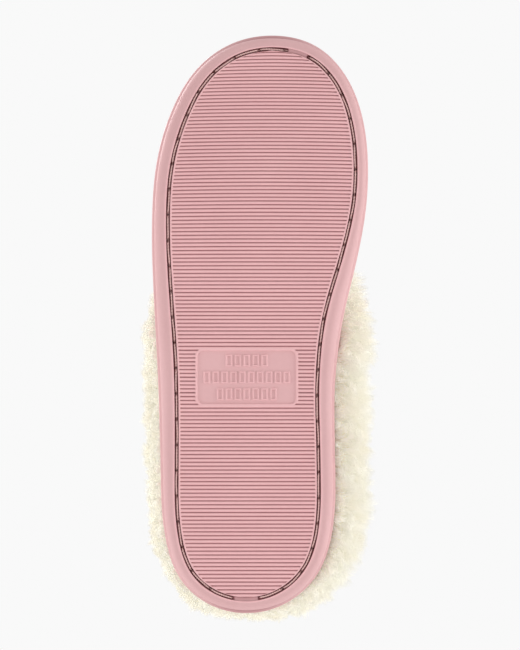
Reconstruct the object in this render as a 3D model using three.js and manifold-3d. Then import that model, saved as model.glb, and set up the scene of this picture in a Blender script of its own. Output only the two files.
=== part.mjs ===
// House slipper for the right foot: moulded cup sole, padded velour vamp, fur cuff round the opening.
// Millimetres, +Z up. The toe points to -Y, the heel to +Y, the inner (medial) side to +X.
import * as THREE from "three";
import { mergeVertices } from "three/addons/utils/BufferGeometryUtils.js";

// ---------------------------------------------------------------- driving dimensions
const soleLength = 245;
const soleWidth = 91.5; // across the ball of the foot
const toeSpringRadius = 360; // the forefoot curls up along this arc
const toeSpringStart = -25; // Y where the arc leaves the flat heel half
const soleFloor = 6; // thickness of the cup sole under the foot
const wallHeight = 13.4; // top of the cup wall above the ground plane
const wallThickness = 2.7;
const edgeRadius = 3.4; // round edge between the ground face and the wall
const channelInset = 6.4; // middle of the sewing channel, from the sole's edge
const channelWidth = 1.7;
const channelDepth = 1.7;
const threadDiameter = 1.0;
const boardThickness = 1.6;
const midsoleThickness = 5;
const insoleThickness = 5;
const sockThickness = 2.4;
const outerThickness = 1.2;
const paddingThickness = 2.5;
const liningThickness = 1.6;
const counterThickness = 1.4;
const clearance = 0.3; // between neighbouring pieces
const layerClearance = 0.8; // between the sewn layers of the upper
const cuffClearance = 0.9; // under the cuff, which follows the upper with coarser facets
const skirtRise = 0.6; // the upper stays straight this far above the cup wall
const upperBulge = 2.8; // how far the upper swells out over the cup wall
const bulgeHeight = 12; // rise over which it swells
const toeHeight = 36; // crest of the upper over the toe tip, before the toe rounds off
const instepHeight = 78; // crest at the front of the opening
const heelCrestHeight = 100; // height that the heel part curves in towards
const toeRoundness = 30; // from the toe tip back to the front end of the crest line
const heelRoundness = 36; // from the heel tip to the rear end of the crest line
const sideRoundness = 0.87; // exponent of the section: 1 is an ellipse, less is squarer
const ankleCut = 0.37; // share of the section left standing beside the ankle
const heelCut = 0.45; // and at the heel
const ankleEnd = 60; // Y where the opening's edge starts to rise to the heel
const cuffThickness = 17; // backing and pile together, at the fullest part
const cuffEdge = 8; // the same at the cuff's lower edge
const cuffRoll = 10; // how far the cuff rises past the opening's edge
const cuffTurnIn = 9; // how far it turns in over the opening's edge
const cuffLowShare = 0.03; // share of the section where the cuff's lower edge lies
const counterReach = 0.15; // how far the heel counter reaches from the heel tip, as a share of the loop
const padWidth = 46; // size pad on the ground face
const padLength = 24;
const padCorner = 2.5;
const padDepth = 0.6;
const padFromMiddle = 22; // Y of the pad's middle

// ---------------------------------------------------------------- grid
const loopSteps = 80; // stations round the whole outline
const throatStep = 16; // station where the opening starts
const cornerSteps = 7; // stations over which the opening's rounded front runs
const throatRows = 13; // rows in that rounded front
const bandSteps = 5; // rows up the cuff
const seamRow = 8; // row in the rounded front where vamp and quarter meet
const riseSteps = 6; // rows up the upper
const wholeRise = Array.from({ length: riseSteps + 1 }, (_, i) => i / riseSteps);
const counterRise = [1 / riseSteps, 2 / riseSteps, 0.48]; // the heel counter stands in the lower half
const foamRise = [0.52, 4 / riseSteps, 5 / riseSteps, 0.99]; // and the collar foam above it

// ---------------------------------------------------------------- outline of the sole
// Shares of half the width and half the length, from the toe tip round the medial side.
const outlineShape = [
  [0.12, -1.0],
  [0.53, -0.965],
  [0.825, -0.846],
  [0.978, -0.673],
  [0.996, -0.431],
  [0.9, -0.22],
  [0.767, -0.015],
  [0.694, 0.204],
  [0.696, 0.449],
  [0.69, 0.677],
  [0.56, 0.855],
  [0.25, 0.965],
  [-0.11, 1.0],
  [-0.46, 0.972],
  [-0.755, 0.878],
  [-0.893, 0.7],
  [-0.919, 0.457],
  [-0.939, 0.204],
  [-0.98, -0.082],
  [-1.0, -0.31],
  [-0.967, -0.538],
  [-0.843, -0.714],
  [-0.613, -0.873],
  [-0.274, -0.971],
];
const smoothingReach = 5;
const fineSteps = 360;

function smoothLoop(points) {
  return points.map((_, i) => {
    const mean = new THREE.Vector3();
    for (let j = -smoothingReach; j <= smoothingReach; j += 1) {
      mean.add(points[(i + j + points.length) % points.length]);
    }
    return mean.divideScalar(2 * smoothingReach + 1);
  });
}

function fitToSize(points) {
  const box = new THREE.Box3().setFromPoints(points);
  const size = box.getSize(new THREE.Vector3());
  const middle = box.getCenter(new THREE.Vector3());
  return points.map((p) => new THREE.Vector3(
    ((p.x - middle.x) / size.x) * soleWidth,
    ((p.y - middle.y) / size.y) * soleLength,
    0,
  ));
}

function halfLoop(points, start, end) {
  const part = [];
  for (let i = start; i !== end; i = (i + 1) % points.length) {
    part.push(points[i]);
  }
  part.push(points[end]);
  return new THREE.CatmullRomCurve3(part);
}

function makeOutline() {
  const corners = outlineShape.map(([x, y]) => new THREE.Vector3((x * soleWidth) / 2, (y * soleLength) / 2, 0));
  const curve = new THREE.CatmullRomCurve3(corners, true, "centripetal");
  const spaced = curve.getSpacedPoints(fineSteps).slice(0, fineSteps);
  const loop = fitToSize(smoothLoop(smoothLoop(spaced)));
  const toe = loop.reduce((best, p, i) => (p.y < loop[best].y ? i : best), 0);
  const heel = loop.reduce((best, p, i) => (p.y > loop[best].y ? i : best), 0);
  return { medial: halfLoop(loop, toe, heel), lateral: halfLoop(loop, heel, toe) };
}

const outline = makeOutline();

// u runs 0..1 round the outline: 0 toe tip, 0.5 heel tip, medial side first.
function outlinePoint(u, inset = 0) {
  const wrapped = ((u % 1) + 1) % 1;
  const half = wrapped < 0.5 ? outline.medial : outline.lateral;
  const share = wrapped < 0.5 ? wrapped * 2 : wrapped * 2 - 1;
  const point = half.getPointAt(share);
  if (inset === 0) {
    return point;
  }
  const step = 1 / fineSteps;
  const along = outlinePoint(u + step).sub(outlinePoint(u - step)).normalize();
  return point.add(new THREE.Vector3(-along.y, along.x, 0).multiplyScalar(inset));
}

function toeSpring(y) {
  const run = Math.max(toeSpringStart - y, 0);
  return toeSpringRadius - Math.sqrt(toeSpringRadius ** 2 - run ** 2);
}

function lifted(point) {
  return new THREE.Vector3(point.x, point.y, point.z + toeSpring(point.y));
}

// ---------------------------------------------------------------- closed meshes
function quad(triangles, a, b, c, d) {
  triangles.push(a, b, c, a, c, d);
}

function closedMesh(name, triangles, colour, roughness) {
  const loose = new THREE.BufferGeometry().setFromPoints(triangles);
  const geometry = mergeVertices(loose, 1e-4);
  const material = new THREE.MeshStandardMaterial({ color: colour, roughness, metalness: 0 });
  const mesh = new THREE.Mesh(geometry, material);
  mesh.name = name;
  return mesh;
}

// A solid between rings that all have loopSteps points, closed by a ladder of rungs at both ends.
function ringSolid(rings) {
  const triangles = [];
  const at = (ring, i) => ring[i % loopSteps];
  for (let r = 0; r + 1 < rings.length; r += 1) {
    for (let i = 0; i < loopSteps; i += 1) {
      quad(triangles, at(rings[r], i), at(rings[r], i + 1), at(rings[r + 1], i + 1), at(rings[r + 1], i));
    }
  }
  const first = rings[0];
  const last = rings[rings.length - 1];
  for (let i = 0; i < loopSteps / 2; i += 1) {
    const j = loopSteps - i;
    if (i > 0) {
      triangles.push(at(first, i), at(first, j), at(first, j - 1));
      triangles.push(at(last, i), at(last, j - 1), at(last, j));
    }
    if (i + 1 < loopSteps / 2) {
      triangles.push(at(first, i), at(first, j - 1), at(first, i + 1));
      triangles.push(at(last, i), at(last, i + 1), at(last, j - 1));
    }
  }
  return triangles;
}

function soleRing(inset, z) {
  return Array.from({ length: loopSteps }, (_, i) => {
    const point = outlinePoint(i / loopSteps, inset);
    return lifted(new THREE.Vector3(point.x, point.y, z));
  });
}

// A sheet with thickness between two grids of the same size; edges says which sides are closed.
function thickSheet(outer, inner, edges, flipped) {
  const triangles = [];
  const put = (a, b, c, d) => (flipped ? quad(triangles, d, c, b, a) : quad(triangles, a, b, c, d));
  const rows = outer.length;
  const columns = outer[0].length;
  for (let r = 0; r + 1 < rows; r += 1) {
    for (let c = 0; c + 1 < columns; c += 1) {
      put(outer[r][c], outer[r + 1][c], outer[r + 1][c + 1], outer[r][c + 1]);
      put(inner[r][c + 1], inner[r + 1][c + 1], inner[r + 1][c], inner[r][c]);
    }
    put(inner[r][0], inner[r + 1][0], outer[r + 1][0], outer[r][0]);
    if (r >= edges.topFrom) {
      const top = columns - 1;
      put(outer[r][top], outer[r + 1][top], inner[r + 1][top], inner[r][top]);
    }
  }
  for (let c = 0; c + 1 < columns; c += 1) {
    if (edges.start) {
      put(outer[0][c], outer[0][c + 1], inner[0][c + 1], inner[0][c]);
    }
    put(inner[rows - 1][c], inner[rows - 1][c + 1], outer[rows - 1][c + 1], outer[rows - 1][c]);
  }
  return triangles;
}

const allEdges = { start: true, topFrom: 0 };

// ---------------------------------------------------------------- shape of the upper
const skirtTop = wallHeight + skirtRise;
const upperInset = wallThickness + clearance;
const outlineLength = outline.medial.getLength() + outline.lateral.getLength();
const seamShare = clearance / 2 / outlineLength;
const throatShare = throatStep / loopSteps;
const cornerShare = cornerSteps / loopSteps;
const throatY = outlinePoint(throatShare).y;

function smoothRise(value) {
  const t = Math.min(Math.max(value, 0), 1);
  return t * t * (3 - 2 * t);
}

// Height of the crest line over the sole: a parabola through the toe, the instep and the heel.
function crestHeight(y) {
  const toe = -soleLength / 2;
  const heel = soleLength / 2 - heelRoundness;
  const partToe = ((y - throatY) * (y - heel)) / ((toe - throatY) * (toe - heel));
  const partThroat = ((y - toe) * (y - heel)) / ((throatY - toe) * (throatY - heel));
  const partHeel = ((y - toe) * (y - throatY)) / ((heel - toe) * (heel - throatY));
  return toeHeight * partToe + instepHeight * partThroat + heelCrestHeight * partHeel;
}

function crestPoint(u) {
  const middle = outlinePoint(u).add(outlinePoint(1 - u)).divideScalar(2);
  const share = middle.y / soleLength + 0.5;
  const front = toeRoundness - soleLength / 2;
  const rear = soleLength / 2 - heelRoundness;
  return new THREE.Vector3(middle.x, front + (rear - front) * share, 0);
}

// Outer face of the upper; v runs from 0 at the cup wall to 1 on the crest line.
function upperFace(u, v) {
  const angle = (v * Math.PI) / 2;
  const inShare = 1 - Math.max(Math.cos(angle), 0) ** sideRoundness;
  const upShare = Math.sin(angle) ** sideRoundness;
  const crest = crestPoint(u);
  const base = outlinePoint(u, upperInset);
  const y = base.y + (crest.y - base.y) * inShare;
  const rise = (crestHeight(y) - skirtTop) * upShare;
  const swollen = outlinePoint(u, upperInset - upperBulge * smoothRise(rise / bulgeHeight));
  const point = swollen.lerp(crest, inShare);
  point.z = skirtTop + rise;
  return lifted(point);
}

function sideNormal(u, v) {
  const du = 0.003;
  const dv = 0.01;
  const level = Math.min(Math.max(v, dv), 0.97);
  const along = upperFace(u + du, level).sub(upperFace(u - du, level));
  const up = upperFace(u, level + dv).sub(upperFace(u, level - dv));
  return along.cross(up).normalize();
}

function upperNormal(u, v) {
  const normal = sideNormal(u, v);
  return v > 0.999 ? normal.add(sideNormal(1 - u, v)).normalize() : normal;
}

function upperPoint(u, v, depth) {
  return upperFace(u, v).addScaledVector(upperNormal(u, v), -depth);
}

// Share of the section that stands at u: 1 on the vamp, cut down round the opening.
function openingCut(u) {
  const side = u > 0.5 ? 1 - u : u;
  const fromCorner = (throatShare + cornerShare - side) / cornerShare;
  if (fromCorner >= 1) {
    return 1;
  }
  if (fromCorner > 0) {
    return 1 - (1 - ankleCut) * Math.sqrt(1 - fromCorner ** 2);
  }
  const y = outlinePoint(side).y;
  return ankleCut + (heelCut - ankleCut) * smoothRise((y - ankleEnd) / (soleLength / 2 - ankleEnd));
}

function cornerU(row) {
  return throatShare + cornerShare * (1 - Math.cos((row / throatRows) * (Math.PI / 2)));
}

// Rows from the toe to the vamp's seam, and from that seam to the heel, on the medial side.
const vampRows = [
  ...Array.from({ length: throatStep }, (_, i) => i / loopSteps),
  ...Array.from({ length: seamRow + 1 }, (_, i) => cornerU(i)),
];
const seamU = cornerU(seamRow);
const quarterRows = [
  seamU + 2 * seamShare,
  ...Array.from({ length: throatRows - seamRow }, (_, i) => cornerU(seamRow + 1 + i)),
  ...Array.from({ length: loopSteps / 2 - throatStep - cornerSteps }, (_, i) => (
    (throatStep + cornerSteps + 1 + i) / loopSteps
  )),
];

function mirrored(rows) {
  return rows.map((u) => 1 - u);
}

function upperGrid(rows, rise, depth) {
  return rows.map((u) => {
    const line = rise.map((share) => upperPoint(u, openingCut(u) * share, depth));
    if (rise[0] === 0) {
      const foot = line[0].clone();
      foot.z = soleFloor + clearance + toeSpring(foot.y);
      line.unshift(foot);
    }
    return line;
  });
}

function layer(rows, rise, depth, thickness, edges, flipped) {
  const outer = upperGrid(rows, rise, depth);
  const inner = upperGrid(rows, rise, depth + thickness);
  return thickSheet(outer, inner, edges, flipped);
}

function vampLayer(depth, thickness) {
  const edges = { start: false, topFrom: throatStep };
  return [
    ...layer(vampRows, wholeRise, depth, thickness, edges, false),
    ...layer(mirrored(vampRows), wholeRise, depth, thickness, edges, true),
  ];
}

// ---------------------------------------------------------------- sole unit
const rubberPink = 0xdcaeb0;
const threadPink = 0xe3b4b6;
const furCream = 0xf3efe2;
const velourPink = 0xdba8aa;
const plushCream = 0xf1ece0;
const foamWhite = 0xe9e6dc;
const boardBrown = 0xb59a78;

function roundedPad(width, length, corner, depth) {
  const shape = new THREE.Shape();
  const x = width / 2 - corner;
  const y = length / 2 - corner;
  shape.absarc(x, y, corner, 0, Math.PI / 2);
  shape.absarc(-x, y, corner, Math.PI / 2, Math.PI);
  shape.absarc(-x, -y, corner, Math.PI, 1.5 * Math.PI);
  shape.absarc(x, -y, corner, 1.5 * Math.PI, 2 * Math.PI);
  const geometry = new THREE.ExtrudeGeometry(shape, { depth, bevelEnabled: false, curveSegments: 4 });
  return geometry;
}

async function cutWith(triangles, cutter) {
  const { default: Module } = await import("manifold-3d");
  const wasm = await Module();
  wasm.setup();
  const solid = (geometry) => {
    geometry.deleteAttribute("normal");
    geometry.deleteAttribute("uv");
    const merged = mergeVertices(geometry, 1e-4);
    const mesh = new wasm.Mesh({
      numProp: 3,
      vertProperties: new Float32Array(merged.attributes.position.array),
      triVerts: new Uint32Array(merged.index.array),
    });
    return new wasm.Manifold(mesh);
  };
  const body = solid(new THREE.BufferGeometry().setFromPoints(triangles));
  const cut = body.subtract(solid(cutter)).getMesh();
  const corner = (i) => new THREE.Vector3().fromArray(cut.vertProperties, cut.triVerts[i] * cut.numProp);
  return Array.from({ length: cut.triVerts.length }, (_, i) => corner(i));
}

async function outsole() {
  const channelIn = channelInset + channelWidth / 2;
  const channelOut = channelInset - channelWidth / 2;
  const diagonal = edgeRadius * (1 - Math.SQRT1_2);
  const rings = [
    soleRing(wallThickness, soleFloor),
    soleRing(wallThickness, wallHeight),
    soleRing(wallThickness * 0.25, wallHeight),
    soleRing(0, wallHeight - wallThickness * 0.25),
    soleRing(0, edgeRadius),
    soleRing(diagonal, diagonal),
    soleRing(edgeRadius, 0),
    soleRing(channelOut, 0),
    soleRing(channelOut, channelDepth),
    soleRing(channelIn, channelDepth),
    soleRing(channelIn, 0),
  ];
  const pad = roundedPad(padWidth, padLength, padCorner, 2 * padDepth);
  const middle = outlinePoint(0.36).add(outlinePoint(0.64)).divideScalar(2);
  pad.translate(middle.x, padFromMiddle, -padDepth);
  const triangles = await cutWith(ringSolid(rings.reverse()), pad);
  return closedMesh("outsole", triangles, rubberPink, 0.55);
}

function soleStitching() {
  const sides = 6;
  const middle = channelDepth / 2;
  const radius = threadDiameter / 2;
  const loops = Array.from({ length: sides }, (_, s) => {
    const angle = (s / sides) * 2 * Math.PI;
    return soleRing(channelInset + radius * Math.cos(angle), middle + radius * Math.sin(angle));
  });
  const triangles = [];
  for (let s = 0; s < sides; s += 1) {
    const a = loops[s];
    const b = loops[(s + 1) % sides];
    for (let i = 0; i < loopSteps; i += 1) {
      const j = (i + 1) % loopSteps;
      quad(triangles, b[i], b[j], a[j], a[i]);
    }
  }
  return closedMesh("sole_stitching", triangles, threadPink, 0.6);
}

// Slabs stacked in the cup, each resting on the one below.
const paddingDepth = outerThickness + layerClearance;
const liningDepth = paddingDepth + paddingThickness + layerClearance;
const slabInset = upperInset + liningDepth + liningThickness + clearance;
const boardZ = soleFloor + clearance;
const midsoleZ = boardZ + boardThickness + clearance;
const insoleZ = midsoleZ + midsoleThickness + clearance;
const sockZ = insoleZ + insoleThickness + clearance;

function slab(name, z, thickness, colour, roughness) {
  const rings = [soleRing(slabInset, z), soleRing(slabInset, z + thickness)];
  return closedMesh(name, ringSolid(rings), colour, roughness);
}

// ---------------------------------------------------------------- fur cuff
// One half of the cuff: a band on the upper from its low edge up to the opening, rolled over the edge.
const cuffRows = [
  0.016, // just beside the crest line, where the two halves meet
  ...Array.from({ length: throatRows }, (_, i) => ((i + 1) / throatRows) * (Math.PI / 2)),
];
const cuffFrontReach = 0.035; // how far the band reaches forward of the opening, as a share of the loop

function cuffLine(edgeU, edgeV, lowU, lowV) {
  const outer = [];
  const inner = [];
  for (let c = 0; c <= bandSteps; c += 1) {
    const share = c / bandSteps;
    const u = lowU + (edgeU - lowU) * share;
    const v = lowV + (edgeV - lowV) * share;
    const fullness = Math.sin(Math.min(share * 1.4, 1) * (Math.PI / 2));
    inner.push(upperPoint(u, v, -cuffClearance));
    outer.push(upperPoint(u, v, -(cuffEdge + (cuffThickness - cuffEdge) * fullness)));
  }
  const edge = upperFace(edgeU, edgeV);
  const normal = upperNormal(edgeU, edgeV);
  const below = upperFace(edgeU + (lowU - edgeU) * 0.1, edgeV + (lowV - edgeV) * 0.1);
  const rise = edge.clone().sub(below).normalize();
  const shift = (up, out) => edge.clone().addScaledVector(rise, up).addScaledVector(normal, out);
  const layers = liningDepth + liningThickness;
  inner[bandSteps] = shift(cuffClearance, cuffClearance);
  outer[bandSteps] = shift(cuffRoll * 0.4, cuffThickness * 0.92);
  inner.push(shift(cuffClearance, -layers / 2));
  outer.push(shift(cuffRoll, cuffThickness * 0.3));
  inner.push(shift(cuffClearance, -layers - cuffClearance));
  outer.push(shift(cuffRoll, -layers * 0.8));
  inner.push(shift(cuffClearance - 2, -cuffTurnIn - 1));
  outer.push(shift(cuffRoll * 0.45, -cuffTurnIn - 3));
  return { outer, inner };
}

function furCuff(name, side) {
  const lines = cuffRows.map((angle) => {
    const corner = throatShare + cornerShare;
    const edgeU = corner - cornerShare * Math.cos(angle);
    const edgeV = 1 - (1 - ankleCut) * Math.sin(angle);
    const lowU = corner - (cornerShare + cuffFrontReach) * Math.cos(angle);
    const lowV = 1 - (1 - cuffLowShare) * Math.sin(angle);
    return cuffLine(side(edgeU), edgeV, side(lowU), lowV);
  });
  for (let i = throatStep + cornerSteps + 1; i <= loopSteps / 2; i += 1) {
    const u = Math.min(i / loopSteps, 0.5 - seamShare);
    lines.push(cuffLine(side(u), openingCut(u), side(u), cuffLowShare));
  }
  const outer = lines.map((line) => line.outer);
  const inner = lines.map((line) => line.inner);
  return closedMesh(name, thickSheet(outer, inner, allEdges, side(0) === 1), furCream, 0.95);
}

// ---------------------------------------------------------------- assembly
const medialQuarterRows = [...quarterRows.slice(0, -1), 0.5 - seamShare];
const roundHeelRows = [...quarterRows, ...mirrored(quarterRows).reverse().slice(1)];
const counterRows = roundHeelRows.filter((u) => Math.abs(u - 0.5) < counterReach);

const group = new THREE.Group();
group.add(await outsole());
group.add(soleStitching());
group.add(slab("insole_board", boardZ, boardThickness, boardBrown, 0.9));
group.add(slab("foam_midsole", midsoleZ, midsoleThickness, foamWhite, 0.9));
group.add(slab("memory_foam_insole", insoleZ, insoleThickness, foamWhite, 0.9));
group.add(slab("sock_lining", sockZ, sockThickness, plushCream, 0.95));
group.add(closedMesh("vamp_outer", vampLayer(0, outerThickness), velourPink, 0.85));
group.add(closedMesh("vamp_padding", vampLayer(paddingDepth, paddingThickness), foamWhite, 0.9));
group.add(closedMesh("vamp_lining", vampLayer(liningDepth, liningThickness), plushCream, 0.95));
group.add(closedMesh(
  "quarter_medial",
  layer(medialQuarterRows, wholeRise, 0, outerThickness, allEdges, false),
  velourPink,
  0.85,
));
group.add(closedMesh(
  "quarter_lateral",
  layer(mirrored(medialQuarterRows), wholeRise, 0, outerThickness, allEdges, true),
  velourPink,
  0.85,
));
group.add(closedMesh(
  "heel_counter",
  layer(counterRows, counterRise, paddingDepth, counterThickness, allEdges, false),
  boardBrown,
  0.8,
));
group.add(closedMesh(
  "collar_foam",
  layer(roundHeelRows, foamRise, paddingDepth, paddingThickness, allEdges, false),
  foamWhite,
  0.9,
));
group.add(closedMesh(
  "quarter_lining",
  layer(roundHeelRows, wholeRise, liningDepth, liningThickness, allEdges, false),
  plushCream,
  0.95,
));
group.add(furCuff("fur_cuff_medial", (u) => u));
group.add(furCuff("fur_cuff_lateral", (u) => 1 - u));

// The origin is on the ground, under the middle of the whole slipper.
const box = new THREE.Box3().setFromObject(group);
const middle = box.getCenter(new THREE.Vector3());
group.position.set(-middle.x, -middle.y, -box.min.z);
group.updateMatrixWorld(true);

export default group;
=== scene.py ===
"""House slipper for the right foot: ribbed moulded sole, sewn channel, velour vamp and a deep fur cuff.

Metres, +Z up, toe towards -Y, heel towards +Y, inner (medial) side towards +X.
"""

import math

import bpy
import bmesh
import numpy as np
from bpy.props import FloatProperty, FloatVectorProperty, IntProperty, PointerProperty
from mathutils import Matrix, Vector


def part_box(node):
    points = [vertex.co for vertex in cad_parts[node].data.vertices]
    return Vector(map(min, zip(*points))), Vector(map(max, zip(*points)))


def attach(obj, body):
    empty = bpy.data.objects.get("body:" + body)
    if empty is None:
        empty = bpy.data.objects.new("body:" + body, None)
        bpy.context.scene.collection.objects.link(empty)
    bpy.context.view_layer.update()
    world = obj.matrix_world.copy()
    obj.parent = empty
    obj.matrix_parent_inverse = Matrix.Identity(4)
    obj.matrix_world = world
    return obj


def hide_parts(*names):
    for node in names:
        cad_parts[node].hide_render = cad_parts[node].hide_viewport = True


bl_info = {
    "name": "House Slipper",
    "version": (1, 0, 0),
    "blender": (4, 5, 0),
    "location": "View3D > Sidebar > Slipper",
    "description": "Builds the looks of a fur-cuffed house slipper around its packed model",
    "category": "Object",
}

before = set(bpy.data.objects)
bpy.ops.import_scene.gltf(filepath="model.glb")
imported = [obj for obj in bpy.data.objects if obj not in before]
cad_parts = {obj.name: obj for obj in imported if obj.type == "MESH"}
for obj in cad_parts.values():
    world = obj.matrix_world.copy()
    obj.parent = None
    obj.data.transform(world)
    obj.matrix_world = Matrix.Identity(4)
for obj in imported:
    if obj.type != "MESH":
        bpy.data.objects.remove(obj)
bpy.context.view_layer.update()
BODY = "root"
MM = 0.001
SEED = 20


# ---------------------------------------------------------------- settings
def length(name, description, value):
    return FloatProperty(name=name, description=description, default=value * MM, unit="LENGTH")


def colour(name, description, value):
    return FloatVectorProperty(name=name, description=description, default=value, size=3, subtype="COLOR",
                               min=0, max=1)


class SlipperSole(bpy.types.PropertyGroup):
    rib_pitch: length("Rib pitch", "Distance from one tread rib to the next, under the heel", 1.6275)
    rib_gather: FloatProperty(name="Rib gather", default=0.09,
                              description="Share by which ribs sit closer at the toe tip")
    rib_depth: length("Rib depth", "Height of the tread ribs", 0.7)
    rib_bow: length("Rib bow", "How far the ribs' middles lead their ends in the forefoot", 0.45)
    border: length("Tread border", "Width of the raised line round the tread", 0.6)
    channel_inset: length("Channel inset", "Middle of the sewing channel from the sole's edge", 6.4)
    channel_width: length("Channel width", "Width of the sewing channel", 1.7)
    channel_depth: length("Channel depth", "Depth of the sewing channel", 1.7)
    spring_radius: length("Toe spring radius", "Arc along which the forefoot curls up", 360)
    spring_start: length("Toe spring start", "Y, from the sole's middle, where that arc begins", -25)
    floor: length("Sole floor", "Thickness of the cup sole under the foot", 6)
    wall_height: length("Wall height", "Top of the cup wall", 13.4)
    wall: length("Wall thickness", "Thickness of the cup wall", 2.7)
    lip: length("Lip", "How far the wall's top lip stands out past the rim below it", 1.15)
    pad_width: length("Size panel width", "Width of the size panel", 43.6)
    pad_y: length("Size panel place", "Y of the panel's middle, from the sole's middle", 22.6)
    pad_ribs: IntProperty(name="Size panel ribs", default=15,
                          description="How many rib pitches the panel takes")
    pad_corner: length("Size panel corner", "Corner radius of the panel", 3.6)
    pad_line: length("Size panel line", "Width of the raised line round the panel", 0.85)
    stitches: IntProperty(name="Stitches", description="Stitches round the channel", default=50)
    thread: length("Thread radius", "Radius of one ply of the thread", 0.21)
    rubber: colour("Rubber", "Colour of the moulded sole", (0.925, 0.55, 0.56))
    rubber_dark: colour("Rubber shade", "Darker patches of the moulded sole", (0.87, 0.505, 0.515))
    thread_colour: colour("Thread", "Colour of the thread", (0.97, 0.64, 0.6))


class SlipperUpper(bpy.types.PropertyGroup):
    skirt: length("Skirt top", "Height where the upper leaves the cup wall", 14)
    inset: length("Upper inset", "The upper's foot from the sole's edge", 3)
    bulge: length("Bulge", "How far the upper swells out over the cup wall", 2.8)
    bulge_rise: length("Bulge rise", "Rise over which it swells", 12)
    toe_height: length("Toe height", "Crest of the upper over the toe tip", 36)
    instep_height: length("Instep height", "Crest at the front of the opening", 78)
    heel_height: length("Heel crest", "Height that the heel part curves in towards", 100)
    toe_round: length("Toe roundness", "From the toe tip back to the crest line", 30)
    heel_round: length("Heel roundness", "From the heel tip to the crest line", 36)
    outer: length("Outer thickness", "Thickness of the outer fabric", 1.2)
    lining_depth: length("Lining depth", "Depth of the lining's outer face", 5.3)
    lining: length("Lining thickness", "Thickness of the lining", 1.6)
    velour: colour("Velour", "Colour of the vamp", (0.74, 0.42, 0.43))
    velour_dark: colour("Velour shade", "Colour of the vamp against the nap", (0.56, 0.29, 0.3))
    topstitch: colour("Topstitch", "Colour of the stitches up the side seams", (0.95, 0.86, 0.76))
    plush: colour("Plush", "Colour of the lining and the footbed", (0.86, 0.8, 0.7))
    plush_dark: colour("Plush shade", "Colour deep in the plush", (0.68, 0.6, 0.5))


class SlipperFur(bpy.types.PropertyGroup):
    strands: IntProperty(name="Strands", description="Strands of pile on the whole cuff", default=64000)
    locks: IntProperty(name="Locks", description="Locks that the strands gather in", default=3000)
    pile: length("Pile", "Length of the fur", 13)
    width: length("Strand width", "Width of a strand at its root", 0.32)
    backing: length("Backing", "Thickness of the cuff under the pile", 9)
    light: colour("Fur light", "Colour of the pile's tips", (0.965, 0.965, 0.895))
    dark: colour("Fur shade", "Colour of the pile at its roots", (0.9, 0.87, 0.77))
    warm: colour("Fur tan", "Warmer locks among the pile", (0.96, 0.9, 0.79))
    # Painted glow: the pile emits light, though it is no lamp, in place of light scattered on through it.
    painted_glow_colour: colour("Fur glow", "Colour of the light that scatters on through the pile",
                        (1.0, 1.0, 0.92))
    painted_glow: FloatProperty(name="Fur glow strength", default=0.2,
                        description="How much light scatters on through the pile")


class SlipperStage(bpy.types.PropertyGroup):
    distance: length("Camera distance", "From the sole to the camera below it", 2500)
    span: length("View width", "Width that the picture takes in at the sole", 219.4)
    paper: colour("Backdrop", "Colour behind the slipper", (0.947, 0.947, 0.947))
    floor: colour("Floor", "Colour of the floor", (0.95, 0.95, 0.95))


def smooth_rise(value):
    """0 below 0 and 1 above 1, with a soft start and end between them."""
    t = np.clip(value, 0, 1)
    return t * t * (3 - 2 * t)


# ---------------------------------------------------------------- outline of the sole
# Shares of half the width and half the length, from the toe tip round the medial side.
OUTLINE_SHAPE = (
    (0.12, -1.0), (0.53, -0.965), (0.825, -0.846), (0.978, -0.673), (0.996, -0.431), (0.9, -0.22),
    (0.767, -0.015), (0.694, 0.204), (0.696, 0.449), (0.69, 0.677), (0.56, 0.855), (0.25, 0.965),
    (-0.11, 1.0), (-0.46, 0.972), (-0.755, 0.878), (-0.893, 0.7), (-0.919, 0.457), (-0.939, 0.204),
    (-0.98, -0.082), (-1.0, -0.31), (-0.967, -0.538), (-0.843, -0.714), (-0.613, -0.873), (-0.274, -0.971),
)
FINE = 2880
SMOOTHING = 40
CURVE_STEPS = 60
LOOK_AHEAD = 1 / 360


def run_along(points):
    """Length along a line of points, from 0 at its first to its whole length at its last."""
    return np.concatenate([[0], np.cumsum(np.linalg.norm(np.diff(points, axis=0), axis=1))])


def smoothed_loop(values, reach):
    """A closed run of numbers, each averaged with its neighbours up to reach places away."""
    kernel = np.ones(2 * reach + 1) / (2 * reach + 1)
    return np.convolve(np.concatenate([values[-reach:], values, values[:reach]]), kernel, "valid")


def closed_curve(corners, count):
    """Even steps along a closed centripetal Catmull-Rom curve."""
    p = np.asarray(corners, float)
    t = np.linspace(0, 1, CURVE_STEPS, endpoint=False)[:, None]
    spans = []
    for i in range(len(p)):
        a, b, c, d = (p[(i + k - 1) % len(p)] for k in range(4))
        ab, bc, cd = (np.linalg.norm(q - r) ** 0.5 for q, r in ((b, a), (c, b), (d, c)))
        start = ((b - a) / ab - (c - a) / (ab + bc) + (c - b) / bc) * bc
        end = ((c - b) / bc - (d - b) / (bc + cd) + (d - c) / cd) * bc
        spans.append(b + start * t + (3 * (c - b) - 2 * start - end) * t ** 2
                     + (2 * (b - c) + start + end) * t ** 3)
    loop = np.vstack(spans)
    closed = np.vstack([loop, loop[:1]])
    run = run_along(closed)
    even = np.linspace(0, run[-1], count, endpoint=False)
    return np.stack([np.interp(even, run, closed[:, k]) for k in range(2)], axis=1)


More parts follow.
